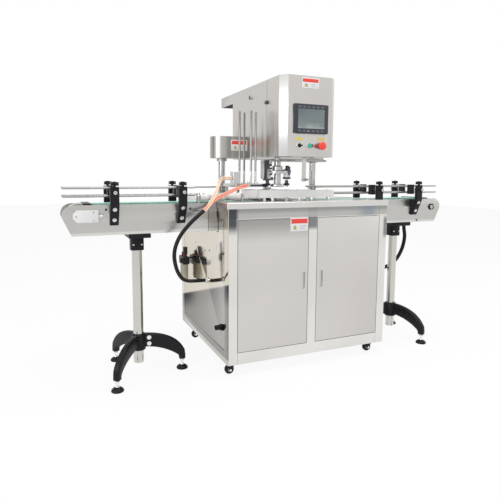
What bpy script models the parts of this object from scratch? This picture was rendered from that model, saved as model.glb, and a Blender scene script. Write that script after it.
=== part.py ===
"""Can seaming machine: a wheeled stainless cabinet, a through conveyor on two stands, and a
seaming head on two columns.

Units are metres and +Z is up. The sizes below are in machine coordinates: the origin is the
cabinet's front left corner on the floor, +X runs along the conveyor and +Y into the cabinet.
One empty carries every piece, and it moves the middle of the machine's footprint to the world's
origin.
"""

from math import atan2, ceil, cos, degrees, hypot, pi, radians, sin, sqrt

import bmesh
import bpy
from mathutils import Matrix, Vector

# General clearances
SEAT_GAP = 0.0003
RUNNING_GAP = 0.0003

# Cabinet
CABINET_WIDTH = 0.990
CABINET_DEPTH = 0.860
CABINET_BOTTOM = 0.064
CABINET_TOP = 0.879
POST_WIDTH = 0.052
FRAME_DEPTH = 0.030
BOTTOM_RAIL = 0.062
TOP_RAIL = 0.054
PANEL_RECESS = 0.003
PANEL_SHEET = 0.002
FLOOR_SHEET = 0.003
BACK_PANEL_DEPTH = 0.014
VENT_LENGTH = 0.120
VENT_WIDTH = 0.006
VENT_PITCH = 0.016
VENT_COUNT = 8

# Table plates
TABLE_THICKNESS = 0.032
TABLE_OVERHANG = 0.006
TABLE_EDGE = 0.002
TABLE_LOW = CABINET_TOP + SEAT_GAP
TABLE_TOP = TABLE_LOW + TABLE_THICKNESS

# Doors
DOOR_THICKNESS = 0.016
DOOR_SHEET = 0.0015
DOOR_GAP = 0.0025
DOOR_PIVOT_INSET = 0.005
DOOR_PIN_RADIUS = 0.0025
DOOR_PIN_REACH = 0.0045
PULL_WIDTH = 0.022
PULL_HEIGHT = 0.092
PULL_DEPTH = 0.010
PULL_FROM_EDGE = 0.028
PULL_HEIGHT_ABOVE_FLOOR = 0.483

# Casters
CASTER_PLATE = 0.060
CASTER_PLATE_THICKNESS = 0.003
CASTER_INSET = 0.050
CASTER_FRONT_Y = 0.055
CASTER_REAR_Y = 0.660
CASTER_TRAIL = 0.022
WHEEL_RADIUS = 0.025
WHEEL_WIDTH = 0.022
AXLE_RADIUS = 0.004
AXLE_STICK_OUT = 0.001
FORK_SHEET = 0.0025
FORK_RING_RADIUS = 0.022
FORK_RING_HEIGHT = 0.009
FORK_LEG_AHEAD = 0.012
FORK_LEG_BEHIND = 0.018
FORK_LEG_END_RADIUS = 0.009
KINGPIN_RADIUS = 0.005
KINGPIN_LENGTH = 0.005

# Conveyor
CONVEYOR_Y = 0.250
CONVEYOR_WIDTH = 0.190
CONVEYOR_LEFT = -0.775
CONVEYOR_RIGHT = CABINET_WIDTH + 0.558
CONVEYOR_HEIGHT = 0.148
CONVEYOR_TOP = TABLE_TOP - 0.0063
CONVEYOR_BOTTOM = CONVEYOR_TOP - CONVEYOR_HEIGHT
CONVEYOR_SHEET = 0.004
CONVEYOR_END_RADIUS = 0.050
CONVEYOR_END_RAKE = 0.042
CONVEYOR_FLANGE = 0.020
NOTCH_CLEARANCE = 0.009

# Slat chains
CHAIN_WIDTH = 0.0825
CHAIN_TOP = CONVEYOR_TOP + 0.005
CHAIN_RADIUS = 0.058
CHAIN_THICKNESS = 0.008
SLAT_PITCH = 0.0381
SLAT_GAP = 0.0016
SLAT_GAP_DEPTH = 0.003
INFEED_END = 0.300
OUTFEED_START = 0.500
CHAIN_END_INSET = 0.017
SHAFT_RADIUS = 0.010
SHAFT_STICK_OUT = 0.007
SPROCKET_TEETH = 8
SPROCKET_WIDTH = 0.036
SPROCKET_CLEARANCE = 0.0008

# Conveyor bed
BED_RAIL_WIDTH = 0.0125
BED_RAIL_LOW = CHAIN_TOP - 0.038
BED_RAIL_HIGH = CHAIN_TOP - 0.012
BED_BAR_WIDTH = 0.020
BED_BAR_HEIGHT = 0.017
WEAR_STRIP_WIDTH = 0.050
DEAD_PLATE_THICKNESS = 0.010
DEAD_PLATE_GAP = 0.003

# Take up bearing at the infeed end
TAKE_UP_LENGTH = 0.116
TAKE_UP_HEIGHT = 0.058
TAKE_UP_DEPTH = 0.018
TAKE_UP_BOLT_LENGTH = 0.032
TAKE_UP_BOLT_RADIUS = 0.005
BEARING_RING_RADIUS = 0.018
BEARING_RING_DEPTH = 0.010

# Guide brackets and rails
BRACKET_X = (-0.537, -0.202, CABINET_WIDTH + 0.029, CABINET_WIDTH + 0.334)
FAR_BRACKET_X = (-0.534, -0.184, CABINET_WIDTH + 0.070, CABINET_WIDTH + 0.386)
BRACKET_WIDTH = 0.042
BRACKET_REACH = 0.055
BRACKET_DEPTH = 0.020
BRACKET_FOOT = 0.012
BRACKET_LIP = 0.006
BRACKET_DROP = 0.100
BRACKET_POST_HEIGHT = 0.087
BRACKET_POST_TOP = CONVEYOR_TOP + BRACKET_POST_HEIGHT
KNOB_RADIUS = 0.021
KNOB_HEIGHT = 0.017
KNOB_STEM_RADIUS = 0.007
KNOB_STEM_HEIGHT = 0.006
KNOB_LOBES = 5
RAIL_RADIUS = 0.005
RAIL_OFFSET = 0.060
RAIL_SPACING = 0.040
RAIL_ABOVE_CHAIN = 0.035
CROSS_ROD_RADIUS = 0.006
CROSS_ROD_Z = CHAIN_TOP + RAIL_ABOVE_CHAIN + RAIL_SPACING / 2
CROSS_ROD_STICK_OUT = 0.024
CLAMP_WIDTH = 0.024
CLAMP_INNER = 0.009
CLAMP_OUTER = 0.028
CLAMP_MARGIN = 0.010
RAIL_END_INSET = 0.007
NEAR_INFEED_RAIL_END = -0.114
FAR_INFEED_RAIL_END = 0.100
OUTFEED_RAIL_START = 0.625

# Stands
LEFT_STAND_X = -0.412
RIGHT_STAND_X = CABINET_WIDTH + 0.265
STAND_PLATE_WIDTH = 0.110
STAND_PLATE_HEIGHT = 0.022
STAND_CLAMP_WIDTH = 0.066
STAND_CLAMP_LOW = CONVEYOR_BOTTOM - 0.093
POLE_RADIUS = 0.0265
POLE_BOTTOM = 0.061
HUB_RADIUS = 0.0375
HUB_LOW = 0.129
HUB_HIGH = 0.217
LEG_REACH = 0.231
LEG_WIDTH = 0.034
LEG_END = 0.058
LEG_ANGLES = {"left": -7.0, "right": 166.0}
FOOT_RADIUS = 0.031
FOOT_HEIGHT = 0.024
FOOT_STUD_RADIUS = 0.006

# Columns and crossbeam
COLUMN_Y = 0.530
COLUMN_X = (0.163, CABINET_WIDTH - 0.187)
COLUMN_RADIUS = 0.021
COLUMN_TOP_PLAY = 0.013
COLUMN_BASE_RADIUS = 0.026
COLUMN_BASE_HEIGHT = 0.054
COLUMN_BASE_TOP = TABLE_TOP + COLUMN_BASE_HEIGHT
COLUMN_COLLAR_RADIUS = 0.031
COLUMN_COLLAR_HEIGHT = 0.020
BEAM_LOW = TABLE_TOP + 0.241
BEAM_HIGH = BEAM_LOW + 0.128
BEAM_RADIUS = 0.071
BEAM_SHEET = 0.005
COLUMN_TOP = BEAM_HIGH - BEAM_SHEET - COLUMN_TOP_PLAY
BEAM_SLEEVE_RADIUS = 0.031
BEAM_SLEEVE_LENGTH = 0.018
BEAM_PLATE_THICKNESS = 0.012
BEAM_PLATE_RIGHT = COLUMN_X[1] + 0.059
BEAM_PLATE_LEFT = BEAM_PLATE_RIGHT - 0.342
BEAM_PLATE_DEPTH = 0.150

# Head housing
HEAD_LEFT = 0.306
HEAD_RIGHT = 0.643
HEAD_FRONT = 0.020
HEAD_REAR = 0.708
HEAD_HEIGHT = 0.421
HEAD_BOTTOM = BEAM_LOW - 0.002
HEAD_TOP = HEAD_BOTTOM + HEAD_HEIGHT
HEAD_CHAMFER = 0.035
HEAD_SHEET = 0.003
HOOD_REAR = 0.920
HOOD_HEIGHT = 0.062
HOOD_LOW = HEAD_TOP - HOOD_HEIGHT
SIDE_PANEL_FRONT = 0.203
SIDE_PANEL_REAR = 0.425
SIDE_PANEL_MARGIN = 0.015
LATCH_RADIUS = 0.010
LATCH_PROUD = 0.005
SENSOR_BAR_X = 0.578
SENSOR_BAR_WIDTH = 0.026
SENSOR_BAR_THICKNESS = 0.004
SENSOR_BAR_LENGTH = 0.136
SENSOR_RADIUS = 0.006
SENSOR_LENGTH = 0.074

# Operator panel
SCREEN_X = 0.4775
SCREEN_Z = HEAD_BOTTOM + 0.198
SCREEN_WIDTH = 0.210
SCREEN_HEIGHT = 0.153
SCREEN_PROUD = 0.008
SCREEN_BODY_MARGIN = 0.012
SCREEN_BODY_DEPTH = 0.042
SCREEN_GLASS_MARGIN_X = 0.024
SCREEN_GLASS_MARGIN_Z = 0.026
SCREEN_GLASS_RECESS = 0.001
BUTTON_Z = HEAD_BOTTOM + 0.058
SELECTOR_X = 0.409
START_X = 0.481
STOP_X = 0.558
BUTTON_RADIUS = 0.0108
BUTTON_COLLAR_RADIUS = 0.0145
BUTTON_COLLAR_PROUD = 0.006
BUTTON_PROUD = 0.009
BUTTON_BODY_DEPTH = 0.040
STOP_RADIUS = 0.0185
STOP_PROUD = 0.034
STOP_CAP_DEPTH = 0.016

# Seaming station
STATION_X = 0.400
SPINDLE_RADIUS = 0.016
SPINDLE_TOP = HEAD_BOTTOM + 0.070
SPINDLE_COLLAR_RADIUS = 0.030
SPINDLE_COLLAR_HEIGHT = 0.022
SPINDLE_TAPER = 0.008
TURRET_RADIUS = 0.060
TURRET_LOW = HEAD_BOTTOM - 0.090
TURRET_HIGH = TURRET_LOW + 0.018
CHUCK_RADIUS = 0.041
CHUCK_LOW = HEAD_BOTTOM - 0.165
CHUCK_HIGH = CHUCK_LOW + 0.016
ROLLER_OFFSET = 0.0620
ROLLER_RADIUS = 0.018
ROLLER_LOW = CHUCK_LOW + 0.007
ROLLER_THICKNESS = 0.012
ROLLER_HUB_RADIUS = 0.010
ROLLER_TOP = ROLLER_LOW + 0.030
ROLLER_PIN_RADIUS = 0.005
LEVER_WIDTH = 0.026
LEVER_DEPTH = 0.040
LIFTER_RADIUS = 0.032
LIFTER_GAP = 0.0005
LIFTER_THICKNESS = 0.010
LIFTER_ROD_RADIUS = 0.015
LIFTER_LENGTH = 0.280
LIFTER_ARM_WIDTH = 0.056
LIFTER_ARM_LOW = CONVEYOR_BOTTOM - 0.067
LIFTER_ARM_HEIGHT = 0.030

# Star wheel and its drive
STAR_PITCH_RADIUS = 0.130
STAR_RADIUS = 0.158
STAR_POCKETS = 6
CAN_POCKET_RADIUS = 0.0425
STAR_LOWER_HEIGHT = 0.014
STAR_UPPER_HEIGHT = 0.040
STAR_PLATE_THICKNESS = 0.012
STAR_HUB_RADIUS = 0.025
STAR_HUB_LOW = TABLE_TOP + 0.003
STAR_HUB_TOP = STAR_HUB_LOW + 0.064
STAR_SHAFT_RADIUS = 0.0125
GEARBOX_TOP = CONVEYOR_BOTTOM - 0.027
GEARBOX_HEIGHT = 0.120
GEARBOX_WIDTH = 0.110
SHAFT_ENGAGEMENT = 0.050
MOTOR_RADIUS = 0.052
MOTOR_LENGTH = 0.170
MOTOR_FINS = 12
HANGER_THICKNESS = 0.012

# Control gear in the cabinet
GEAR_PLATE_HEIGHT = 0.600
GEAR_PLATE_WIDTH = 0.340
GEAR_PLATE_FROM_RIGHT = 0.090
GEAR_PLATE_THICKNESS = 0.003
GEAR_PLATE_FOOT = 0.060
GEAR_PLATE_FROM_REAR = 0.030
GEAR_SPACING = 0.012
GEAR_MARGIN = 0.030

# Front guide of the star wheel
GUIDE_LEFT = 0.235
GUIDE_RIGHT = 0.700
GUIDE_STEP = 0.580
GUIDE_FRONT = 0.118
GUIDE_REAR = 0.206
GUIDE_REAR_NARROW = 0.150
GUIDE_LOW = TABLE_TOP + 0.017
GUIDE_HIGH = GUIDE_LOW + 0.040
GUIDE_FOOT_RADIUS = 0.008
GUIDE_FEET = 4

# Lid magazine
MAGAZINE_X = 0.213
MAGAZINE_PLATE_LEFT = 0.116
MAGAZINE_PLATE_RIGHT = 0.306
MAGAZINE_PLATE_FRONT = 0.190
MAGAZINE_PLATE_REAR = 0.388
MAGAZINE_PLATE_LOW = TABLE_TOP + 0.074
MAGAZINE_PLATE_HIGH = MAGAZINE_PLATE_LOW + 0.018
LID_HOLE_RADIUS = 0.042
LID_ROD_OFFSET = 0.0487
LID_ROD_RADIUS = 0.006
LID_ROD_TOP = MAGAZINE_PLATE_HIGH + 0.399
MAGAZINE_POST_X = (0.135, 0.205)
MAGAZINE_POST_Y = 0.370
MAGAZINE_POST_RADIUS = 0.009
SEPARATOR_WIDTH = 0.038
SEPARATOR_DEPTH = 0.050
SEPARATOR_HEIGHT = 0.066

# Infeed screw
SCREW_LEFT = -0.092
SCREW_RIGHT = 0.137
SCREW_Y = 0.180
SCREW_Z = CHAIN_TOP + 0.0255
SCREW_RADIUS = 0.022
SCREW_GROOVE_DEPTH = 0.009
SCREW_TURNS = 2.5
SCREW_JOURNAL_RADIUS = 0.005
SCREW_JOURNAL_LENGTH = 0.016
SCREW_BLOCK_THICKNESS = 0.008
SCREW_BLOCK_GAP = 0.005
SCREW_BLOCK_WIDTH = 0.030

# Air unit on the left end panel
AIR_Y = 0.648
AIR_X = -0.045
AIR_PITCH = 0.048
AIR_BODY_LOW = 0.496
AIR_BODY_HIGH = 0.544
AIR_BODY_DEPTH = 0.044
AIR_KNOB_RADIUS = 0.014
AIR_KNOB_TOP = 0.604
AIR_BOWL_RADIUS = 0.018
AIR_BOWL_LOW = 0.391
AIR_GAUGE_RADIUS = 0.016
AIR_GAUGE_DEPTH = 0.014
AIR_BODY_WIDTH = 0.047
AIR_BODY_EDGE = 0.004
AIR_PLATE_WIDTH = 0.060
AIR_PLATE_THICKNESS = 0.003
AIR_ARM_WIDTH = 0.032
AIR_ARM_LOW = 0.528
AIR_ARM_HEIGHT = 0.006
AIR_PORT_RADIUS = 0.010
AIR_PORT_HEIGHT = 0.022
AIR_KNOB_NECK = 0.014

# Power inlet and hoses
INLET_Y = 0.110
INLET_Z = 0.240
INLET_RADIUS = 0.0135
INLET_LENGTH = 0.033
INLET_FLANGE_RADIUS = 0.018
GLAND_RADIUS = 0.017
GLAND_PROUD = 0.016
LEFT_GLAND = (0.335, 0.450)
RIGHT_GLAND = (0.320, 0.440)
LEFT_HOSE_RADIUS = 0.010
RIGHT_HOSE_RADIUS = 0.012
AIR_TUBE_RADIUS = 0.004
TUBE_FORK_RADIUS = 0.0065
TUBE_FORK_LENGTH = 0.030

# Worked out from the sizes above
DOOR_LOW = CABINET_BOTTOM + BOTTOM_RAIL
DOOR_HIGH = CABINET_TOP - TOP_RAIL
MIDDLE = CABINET_WIDTH / 2
CONVEYOR_NEAR = CONVEYOR_Y - CONVEYOR_WIDTH / 2
CONVEYOR_FAR = CONVEYOR_Y + CONVEYOR_WIDTH / 2
TABLE_SLOT_GAP = NOTCH_CLEARANCE / 2
CHAIN_Z = CHAIN_TOP - CHAIN_RADIUS
CHAIN_INNER = CHAIN_RADIUS - CHAIN_THICKNESS
INFEED_AXES = (CONVEYOR_LEFT + CHAIN_END_INSET + CHAIN_RADIUS, INFEED_END - CHAIN_RADIUS)
OUTFEED_AXES = (OUTFEED_START + CHAIN_RADIUS, CONVEYOR_RIGHT - CHAIN_END_INSET - CHAIN_RADIUS)
STATION = (STATION_X, CONVEYOR_Y)
STAR_Y = CONVEYOR_Y + STAR_PITCH_RADIUS
FORK_TOP = CABINET_BOTTOM - CASTER_PLATE_THICKNESS - SEAT_GAP
WALL_LEFT = PANEL_RECESS
WALL_RIGHT = CABINET_WIDTH - PANEL_RECESS
FOOTPRINT_FRONT = HEAD_FRONT - STOP_PROUD
FOOTPRINT_MIDDLE = ((CONVEYOR_LEFT + CONVEYOR_RIGHT) / 2, (FOOTPRINT_FRONT + HOOD_REAR) / 2)

OVER = 0.01
SINK = 0.002

STAINLESS = ((0.72, 0.71, 0.69), 0.28, 1.0)
BRUSHED = ((0.62, 0.61, 0.60), 0.38, 1.0)
BLACK_PLASTIC = ((0.02, 0.02, 0.022), 0.45, 0.0)
WHITE_PLASTIC = ((0.86, 0.86, 0.84), 0.45, 0.0)
MINT_PLASTIC = ((0.52, 0.80, 0.70), 0.50, 0.0)
RUBBER = ((0.03, 0.03, 0.03), 0.70, 0.0)
ALUMINIUM = ((0.70, 0.71, 0.72), 0.40, 1.0)
GREY_PAINT = ((0.30, 0.33, 0.36), 0.50, 0.0)
GREEN = ((0.05, 0.55, 0.20), 0.40, 0.0)
RED = ((0.75, 0.03, 0.02), 0.40, 0.0)
SALMON = ((0.90, 0.52, 0.42), 0.35, 0.0)
SCREEN = ((0.06, 0.08, 0.09), 0.25, 0.0)


def clear_scene():
    for thing in list(bpy.data.objects):
        bpy.data.objects.remove(thing, do_unlink=True)


def to_object(mesh_maker):
    """A mesh object holding the geometry of one bmesh, with its normals outward."""
    bmesh.ops.recalc_face_normals(mesh_maker, faces=mesh_maker.faces)
    mesh = bpy.data.meshes.new("shape")
    mesh_maker.to_mesh(mesh)
    mesh_maker.free()
    thing = bpy.data.objects.new("shape", mesh)
    bpy.context.collection.objects.link(thing)
    return thing


def box(low, high, bevel=0.0, steps=1):
    """A box between two corners, with all its edges bevelled."""
    maker = bmesh.new()
    bmesh.ops.create_cube(maker, size=1.0)
    size = [b - a for a, b in zip(low, high)]
    middle = [(a + b) / 2 for a, b in zip(low, high)]
    bmesh.ops.scale(maker, vec=size, verts=maker.verts)
    bmesh.ops.translate(maker, vec=middle, verts=maker.verts)
    if bevel:
        bmesh.ops.bevel(maker, geom=maker.edges[:], offset=bevel, segments=steps, affect="EDGES")
    return to_object(maker)


def onto(axis, centre):
    """The matrix that turns +Z onto an axis and moves the origin to a point."""
    turn = {
        "X": Matrix.Rotation(pi / 2, 4, "Y"),
        "Y": Matrix.Rotation(-pi / 2, 4, "X"),
        "Z": Matrix.Identity(4),
    }
    return Matrix.Translation(centre) @ turn[axis]


def rod(start, end, radius, sides=16):
    """A round bar between two points."""
    start, end = Vector(start), Vector(end)
    along = end - start
    maker = bmesh.new()
    bmesh.ops.create_cone(maker, cap_ends=True, segments=sides, radius1=radius, radius2=radius,
                          depth=along.length)
    turn = Vector((0, 0, 1)).rotation_difference(along).to_matrix().to_4x4()
    bmesh.ops.transform(maker, matrix=Matrix.Translation((start + end) / 2) @ turn,
                        verts=maker.verts)
    return to_object(maker)


def turned(profile, centre=(0, 0, 0), axis="Z", sides=20):
    """A turned solid. The profile is a closed ring of (radius, height) points; a point of radius
    0 lies on the axis."""
    maker = bmesh.new()
    rings = []
    for radius, height in profile:
        if radius == 0:
            rings.append([maker.verts.new((0, 0, height))] * sides)
            continue
        angles = [2 * pi * k / sides for k in range(sides)]
        rings.append([maker.verts.new((radius * cos(a), radius * sin(a), height)) for a in angles])
    pairs = list(zip(rings, rings[1:] + rings[:1]))
    for lower, upper in pairs:
        for k in range(sides):
            corners = [lower[k], lower[(k + 1) % sides], upper[(k + 1) % sides], upper[k]]
            ring = list(dict.fromkeys(corners))
            if len(ring) > 2:
                maker.faces.new(ring)
    bmesh.ops.transform(maker, matrix=onto(axis, centre), verts=maker.verts)
    return to_object(maker)


def slab(outline, low, high, axis="Z"):
    """An outline extruded along an axis. The outline's points are (X, Y) for axis Z, (X, Z) for
    axis Y and (Y, Z) for axis X."""
    place = {
        "Z": lambda p, h: (p[0], p[1], h),
        "Y": lambda p, h: (p[0], h, p[1]),
        "X": lambda p, h: (h, p[0], p[1]),
    }[axis]
    maker = bmesh.new()
    bottom = [maker.verts.new(place(p, low)) for p in outline]
    top = [maker.verts.new(place(p, high)) for p in outline]
    count = len(outline)
    maker.faces.new(bottom[::-1])
    maker.faces.new(top)
    for k in range(count):
        maker.faces.new((bottom[k], bottom[(k + 1) % count], top[(k + 1) % count], top[k]))
    return to_object(maker)


def arc(centre, radius, start, end, steps):
    """Points of an arc, in degrees, both ends included."""
    angles = [radians(start + (end - start) * k / steps) for k in range(steps + 1)]
    return [(centre[0] + radius * cos(a), centre[1] + radius * sin(a)) for a in angles]


def rounded_rectangle(low, high, radius, steps=3):
    """The outline of a rectangle with round corners."""
    (x0, y0), (x1, y1) = low, high
    corners = ((x1, y0, -90, -1, 1), (x1, y1, 0, -1, -1), (x0, y1, 90, 1, -1), (x0, y0, 180, 1, 1))
    points = []
    for x, y, start, sx, sy in corners:
        points += arc((x + sx * radius, y + sy * radius), radius, start, start + 90, steps)
    return points


def bow(start, pull, end, steps):
    """Points of a quadratic curve, both ends included."""
    points = []
    for k in range(steps + 1):
        t = k / steps
        weights = ((1 - t) ** 2, 2 * t * (1 - t), t * t)
        points.append(tuple(sum(w * p[i] for w, p in zip(weights, (start, pull, end)))
                            for i in range(2)))
    return points


def bake(thing):
    """Replace an object's mesh by what its modifiers make of it."""
    graph = bpy.context.evaluated_depsgraph_get()
    mesh = bpy.data.meshes.new_from_object(thing.evaluated_get(graph))
    thing.modifiers.clear()
    thing.data = mesh


def combine(base, others, operation):
    """Join other shapes to a base, or take them away from it, with exact Booleans."""
    for other in others:
        step = base.modifiers.new(operation.lower(), "BOOLEAN")
        step.operation = operation
        step.solver = "EXACT"
        step.object = other
    if others:
        bake(base)
    for other in others:
        bpy.data.objects.remove(other, do_unlink=True)
    return base


def joined(shapes):
    return combine(shapes[0], shapes[1:], "UNION")


def cut(base, tools):
    return combine(base, tools, "DIFFERENCE")


def material_for(name, look):
    colour, roughness, metallic = look
    material = bpy.data.materials.new(name)
    material.use_nodes = True
    shader = material.node_tree.nodes["Principled BSDF"]
    shader.inputs["Base Color"].default_value = (*colour, 1.0)
    shader.inputs["Roughness"].default_value = roughness
    shader.inputs["Metallic"].default_value = metallic
    material.diffuse_color = (*colour, 1.0)
    return material


def finish(name, shape, look, parent, pivot=(0, 0, 0)):
    """Name a shape, give it its material, and hang it on its parent with its origin at pivot."""
    tidy = bmesh.new()
    tidy.from_mesh(shape.data)
    bmesh.ops.remove_doubles(tidy, verts=tidy.verts, dist=1e-6)
    bmesh.ops.dissolve_limit(tidy, angle_limit=radians(0.05), verts=tidy.verts, edges=tidy.edges)
    tidy.to_mesh(shape.data)
    tidy.free()
    shape.name = name
    shape.data.name = name
    shape.data.transform(Matrix.Translation(-Vector(pivot)))
    shape.data.materials.clear()
    shape.data.materials.append(material_for(name, look))
    shape.data.shade_smooth()
    shape.data.set_sharp_from_angle(angle=radians(30))
    shape["pivot"] = tuple(pivot)
    shape.parent = parent
    shape.location = Vector(pivot) - Vector(parent.get("pivot", (0, 0, 0)))
    return shape


def cabinet_walls():
    """Posts, rails, recessed end sheets and floor, as one welded body."""
    width, depth = CABINET_WIDTH, CABINET_DEPTH
    wall = FRAME_DEPTH
    body = box((0, 0, CABINET_BOTTOM), (width, depth, CABINET_TOP))
    inside = box((wall, wall, CABINET_BOTTOM + FLOOR_SHEET),
                 (width - wall, depth - wall, CABINET_TOP + OVER))
    tools = [inside]
    deep = wall + OVER / 10
    for left, right in ((POST_WIDTH, MIDDLE - POST_WIDTH / 2),
                        (MIDDLE + POST_WIDTH / 2, width - POST_WIDTH)):
        tools.append(box((left, -OVER, DOOR_LOW), (right, deep, DOOR_HIGH)))
    tools.append(box((POST_WIDTH, depth - deep, DOOR_LOW),
                     (width - POST_WIDTH, depth + OVER, DOOR_HIGH)))
    sheet_in = PANEL_RECESS + PANEL_SHEET
    for outer, face, back, inner in ((-OVER, PANEL_RECESS, sheet_in, deep),
                                     (width + OVER, width - PANEL_RECESS, width - sheet_in,
                                      width - deep)):
        for a, b in ((outer, face), (back, inner)):
            tools.append(box((min(a, b), POST_WIDTH, DOOR_LOW),
                             (max(a, b), depth - POST_WIDTH, DOOR_HIGH)))
    return cut(body, tools)


def conveyor_notch(end_x):
    """The cut that lets the conveyor through one end of the cabinet."""
    inward = FRAME_DEPTH + OVER / 10
    low = -OVER if end_x == 0 else end_x - inward
    high = inward if end_x == 0 else end_x + OVER
    return box((low, CONVEYOR_NEAR - NOTCH_CLEARANCE, CONVEYOR_BOTTOM - NOTCH_CLEARANCE),
               (high, CONVEYOR_FAR + NOTCH_CLEARANCE, CABINET_TOP + OVER))


def caster_places():
    right = CABINET_WIDTH - CASTER_INSET
    return [(CASTER_INSET, CASTER_FRONT_Y), (right, CASTER_FRONT_Y),
            (CASTER_INSET, CASTER_REAR_Y), (right, CASTER_REAR_Y)]


def door_pivots():
    inset = POST_WIDTH + DOOR_GAP + DOOR_PIVOT_INSET
    return {"left": (inset, DOOR_PIVOT_INSET), "right": (CABINET_WIDTH - inset, DOOR_PIVOT_INSET)}


def gland(wall_x, outward, place):
    """A collar on an end sheet that a hose comes out of."""
    y, z = place
    length = GLAND_PROUD + PANEL_SHEET / 2
    start = wall_x - outward * PANEL_SHEET / 2
    return rod((start, y, z), (start + outward * length, y, z), GLAND_RADIUS)


def make_cabinet(root):
    body = cabinet_walls()
    additions = [gland(WALL_LEFT, -1, LEFT_GLAND), gland(WALL_RIGHT, 1, RIGHT_GLAND)]
    plate_low = CABINET_BOTTOM - CASTER_PLATE_THICKNESS
    half = CASTER_PLATE / 2
    for x, y in caster_places():
        additions.append(box((x - half, max(y - half, 0), plate_low),
                             (x + half, y + half, CABINET_BOTTOM + FLOOR_SHEET / 2)))
        additions.append(rod((x, y, plate_low - KINGPIN_LENGTH), (x, y, CABINET_BOTTOM),
                             KINGPIN_RADIUS))
    joined([body] + additions)
    tools = [conveyor_notch(0), conveyor_notch(CABINET_WIDTH)]
    hole = DOOR_PIN_RADIUS + RUNNING_GAP
    reach = DOOR_PIN_REACH + RUNNING_GAP
    for x, y in door_pivots().values():
        tools.append(rod((x, y, DOOR_LOW - reach), (x, y, DOOR_LOW + OVER), hole, 12))
        tools.append(rod((x, y, DOOR_HIGH - OVER), (x, y, DOOR_HIGH + reach), hole, 12))
    cut(body, tools)
    finish("cabinet_frame", body, STAINLESS, root)
    make_back_panel(root)
    for side in ("left", "right"):
        make_door(side, root)


def make_back_panel(root):
    gap = SEAT_GAP
    rear = CABINET_DEPTH - PANEL_RECESS
    left, right = POST_WIDTH + gap, CABINET_WIDTH - POST_WIDTH - gap
    low, high = DOOR_LOW + gap, DOOR_HIGH - gap
    panel = box((left, rear - BACK_PANEL_DEPTH, low), (right, rear, high))
    sheet = PANEL_SHEET
    tools = [box((left + sheet, rear - BACK_PANEL_DEPTH - OVER, low + sheet),
                 (right - sheet, rear - sheet, high - sheet))]
    for side in (0.25, 0.75):
        middle = left + (right - left) * side
        for k in range(VENT_COUNT):
            z = high - 0.08 - VENT_PITCH * k
            tools.append(box((middle - VENT_LENGTH / 2, rear - 2 * sheet, z),
                             (middle + VENT_LENGTH / 2, rear + OVER, z + VENT_WIDTH)))
    finish("back_panel", cut(panel, tools), STAINLESS, root)


def make_door(side, root):
    """A folded door pan with a recessed pull, on a pivot pin at its top and bottom."""
    if side == "left":
        hinge_x = POST_WIDTH + DOOR_GAP
        free_x = MIDDLE - POST_WIDTH / 2 - DOOR_GAP
    else:
        hinge_x = CABINET_WIDTH - POST_WIDTH - DOOR_GAP
        free_x = MIDDLE + POST_WIDTH / 2 + DOOR_GAP
    inward = 1 if free_x > hinge_x else -1
    low_x, high_x = min(hinge_x, free_x), max(hinge_x, free_x)
    low, high = DOOR_LOW + DOOR_GAP, DOOR_HIGH - DOOR_GAP
    sheet = DOOR_SHEET
    rim = DOOR_PIVOT_INSET + 2 * DOOR_PIN_RADIUS
    door = box((low_x, 0, low), (high_x, DOOR_THICKNESS, high))
    pocket_low = low_x + (rim if inward > 0 else sheet)
    pocket_high = high_x - (sheet if inward > 0 else rim)
    cut(door, [box((pocket_low, sheet, low + sheet),
                   (pocket_high, DOOR_THICKNESS + OVER, high - sheet))])
    pull_x = free_x - inward * PULL_FROM_EDGE
    half_w, half_h = PULL_WIDTH / 2, PULL_HEIGHT / 2
    z = PULL_HEIGHT_ABOVE_FLOOR
    cup = box((pull_x - half_w - sheet, sheet / 2, z - half_h - sheet),
              (pull_x + half_w + sheet, PULL_DEPTH + sheet, z + half_h + sheet))
    x, y = door_pivots()[side]
    reach = DOOR_PIN_REACH
    pins = [rod((x, y, low - DOOR_GAP - reach + RUNNING_GAP), (x, y, low + sheet),
                DOOR_PIN_RADIUS, 12),
            rod((x, y, high - sheet), (x, y, high + DOOR_GAP + reach - RUNNING_GAP),
                DOOR_PIN_RADIUS, 12)]
    joined([door, cup] + pins)
    cut(door, [box((pull_x - half_w, -OVER, z - half_h),
                   (pull_x + half_w, PULL_DEPTH, z + half_h))])
    finish(side + "_door", door, STAINLESS, root, (x, y, low))


def make_table(root):
    left, right = -TABLE_OVERHANG, CABINET_WIDTH + TABLE_OVERHANG
    front = box((left, -TABLE_OVERHANG, TABLE_LOW),
                (right, CONVEYOR_NEAR - TABLE_SLOT_GAP, TABLE_TOP), TABLE_EDGE)
    finish("table_front", front, BRUSHED, root)
    rear = box((left, CONVEYOR_FAR + TABLE_SLOT_GAP, TABLE_LOW),
               (right, CABINET_DEPTH + TABLE_OVERHANG, TABLE_TOP), TABLE_EDGE)
    hole = rod((STATION_X, STAR_Y, TABLE_LOW - OVER), (STATION_X, STAR_Y, TABLE_TOP + OVER),
               STAR_SHAFT_RADIUS + RUNNING_GAP)
    finish("table_rear", cut(rear, [hole]), BRUSHED, root)


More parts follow.
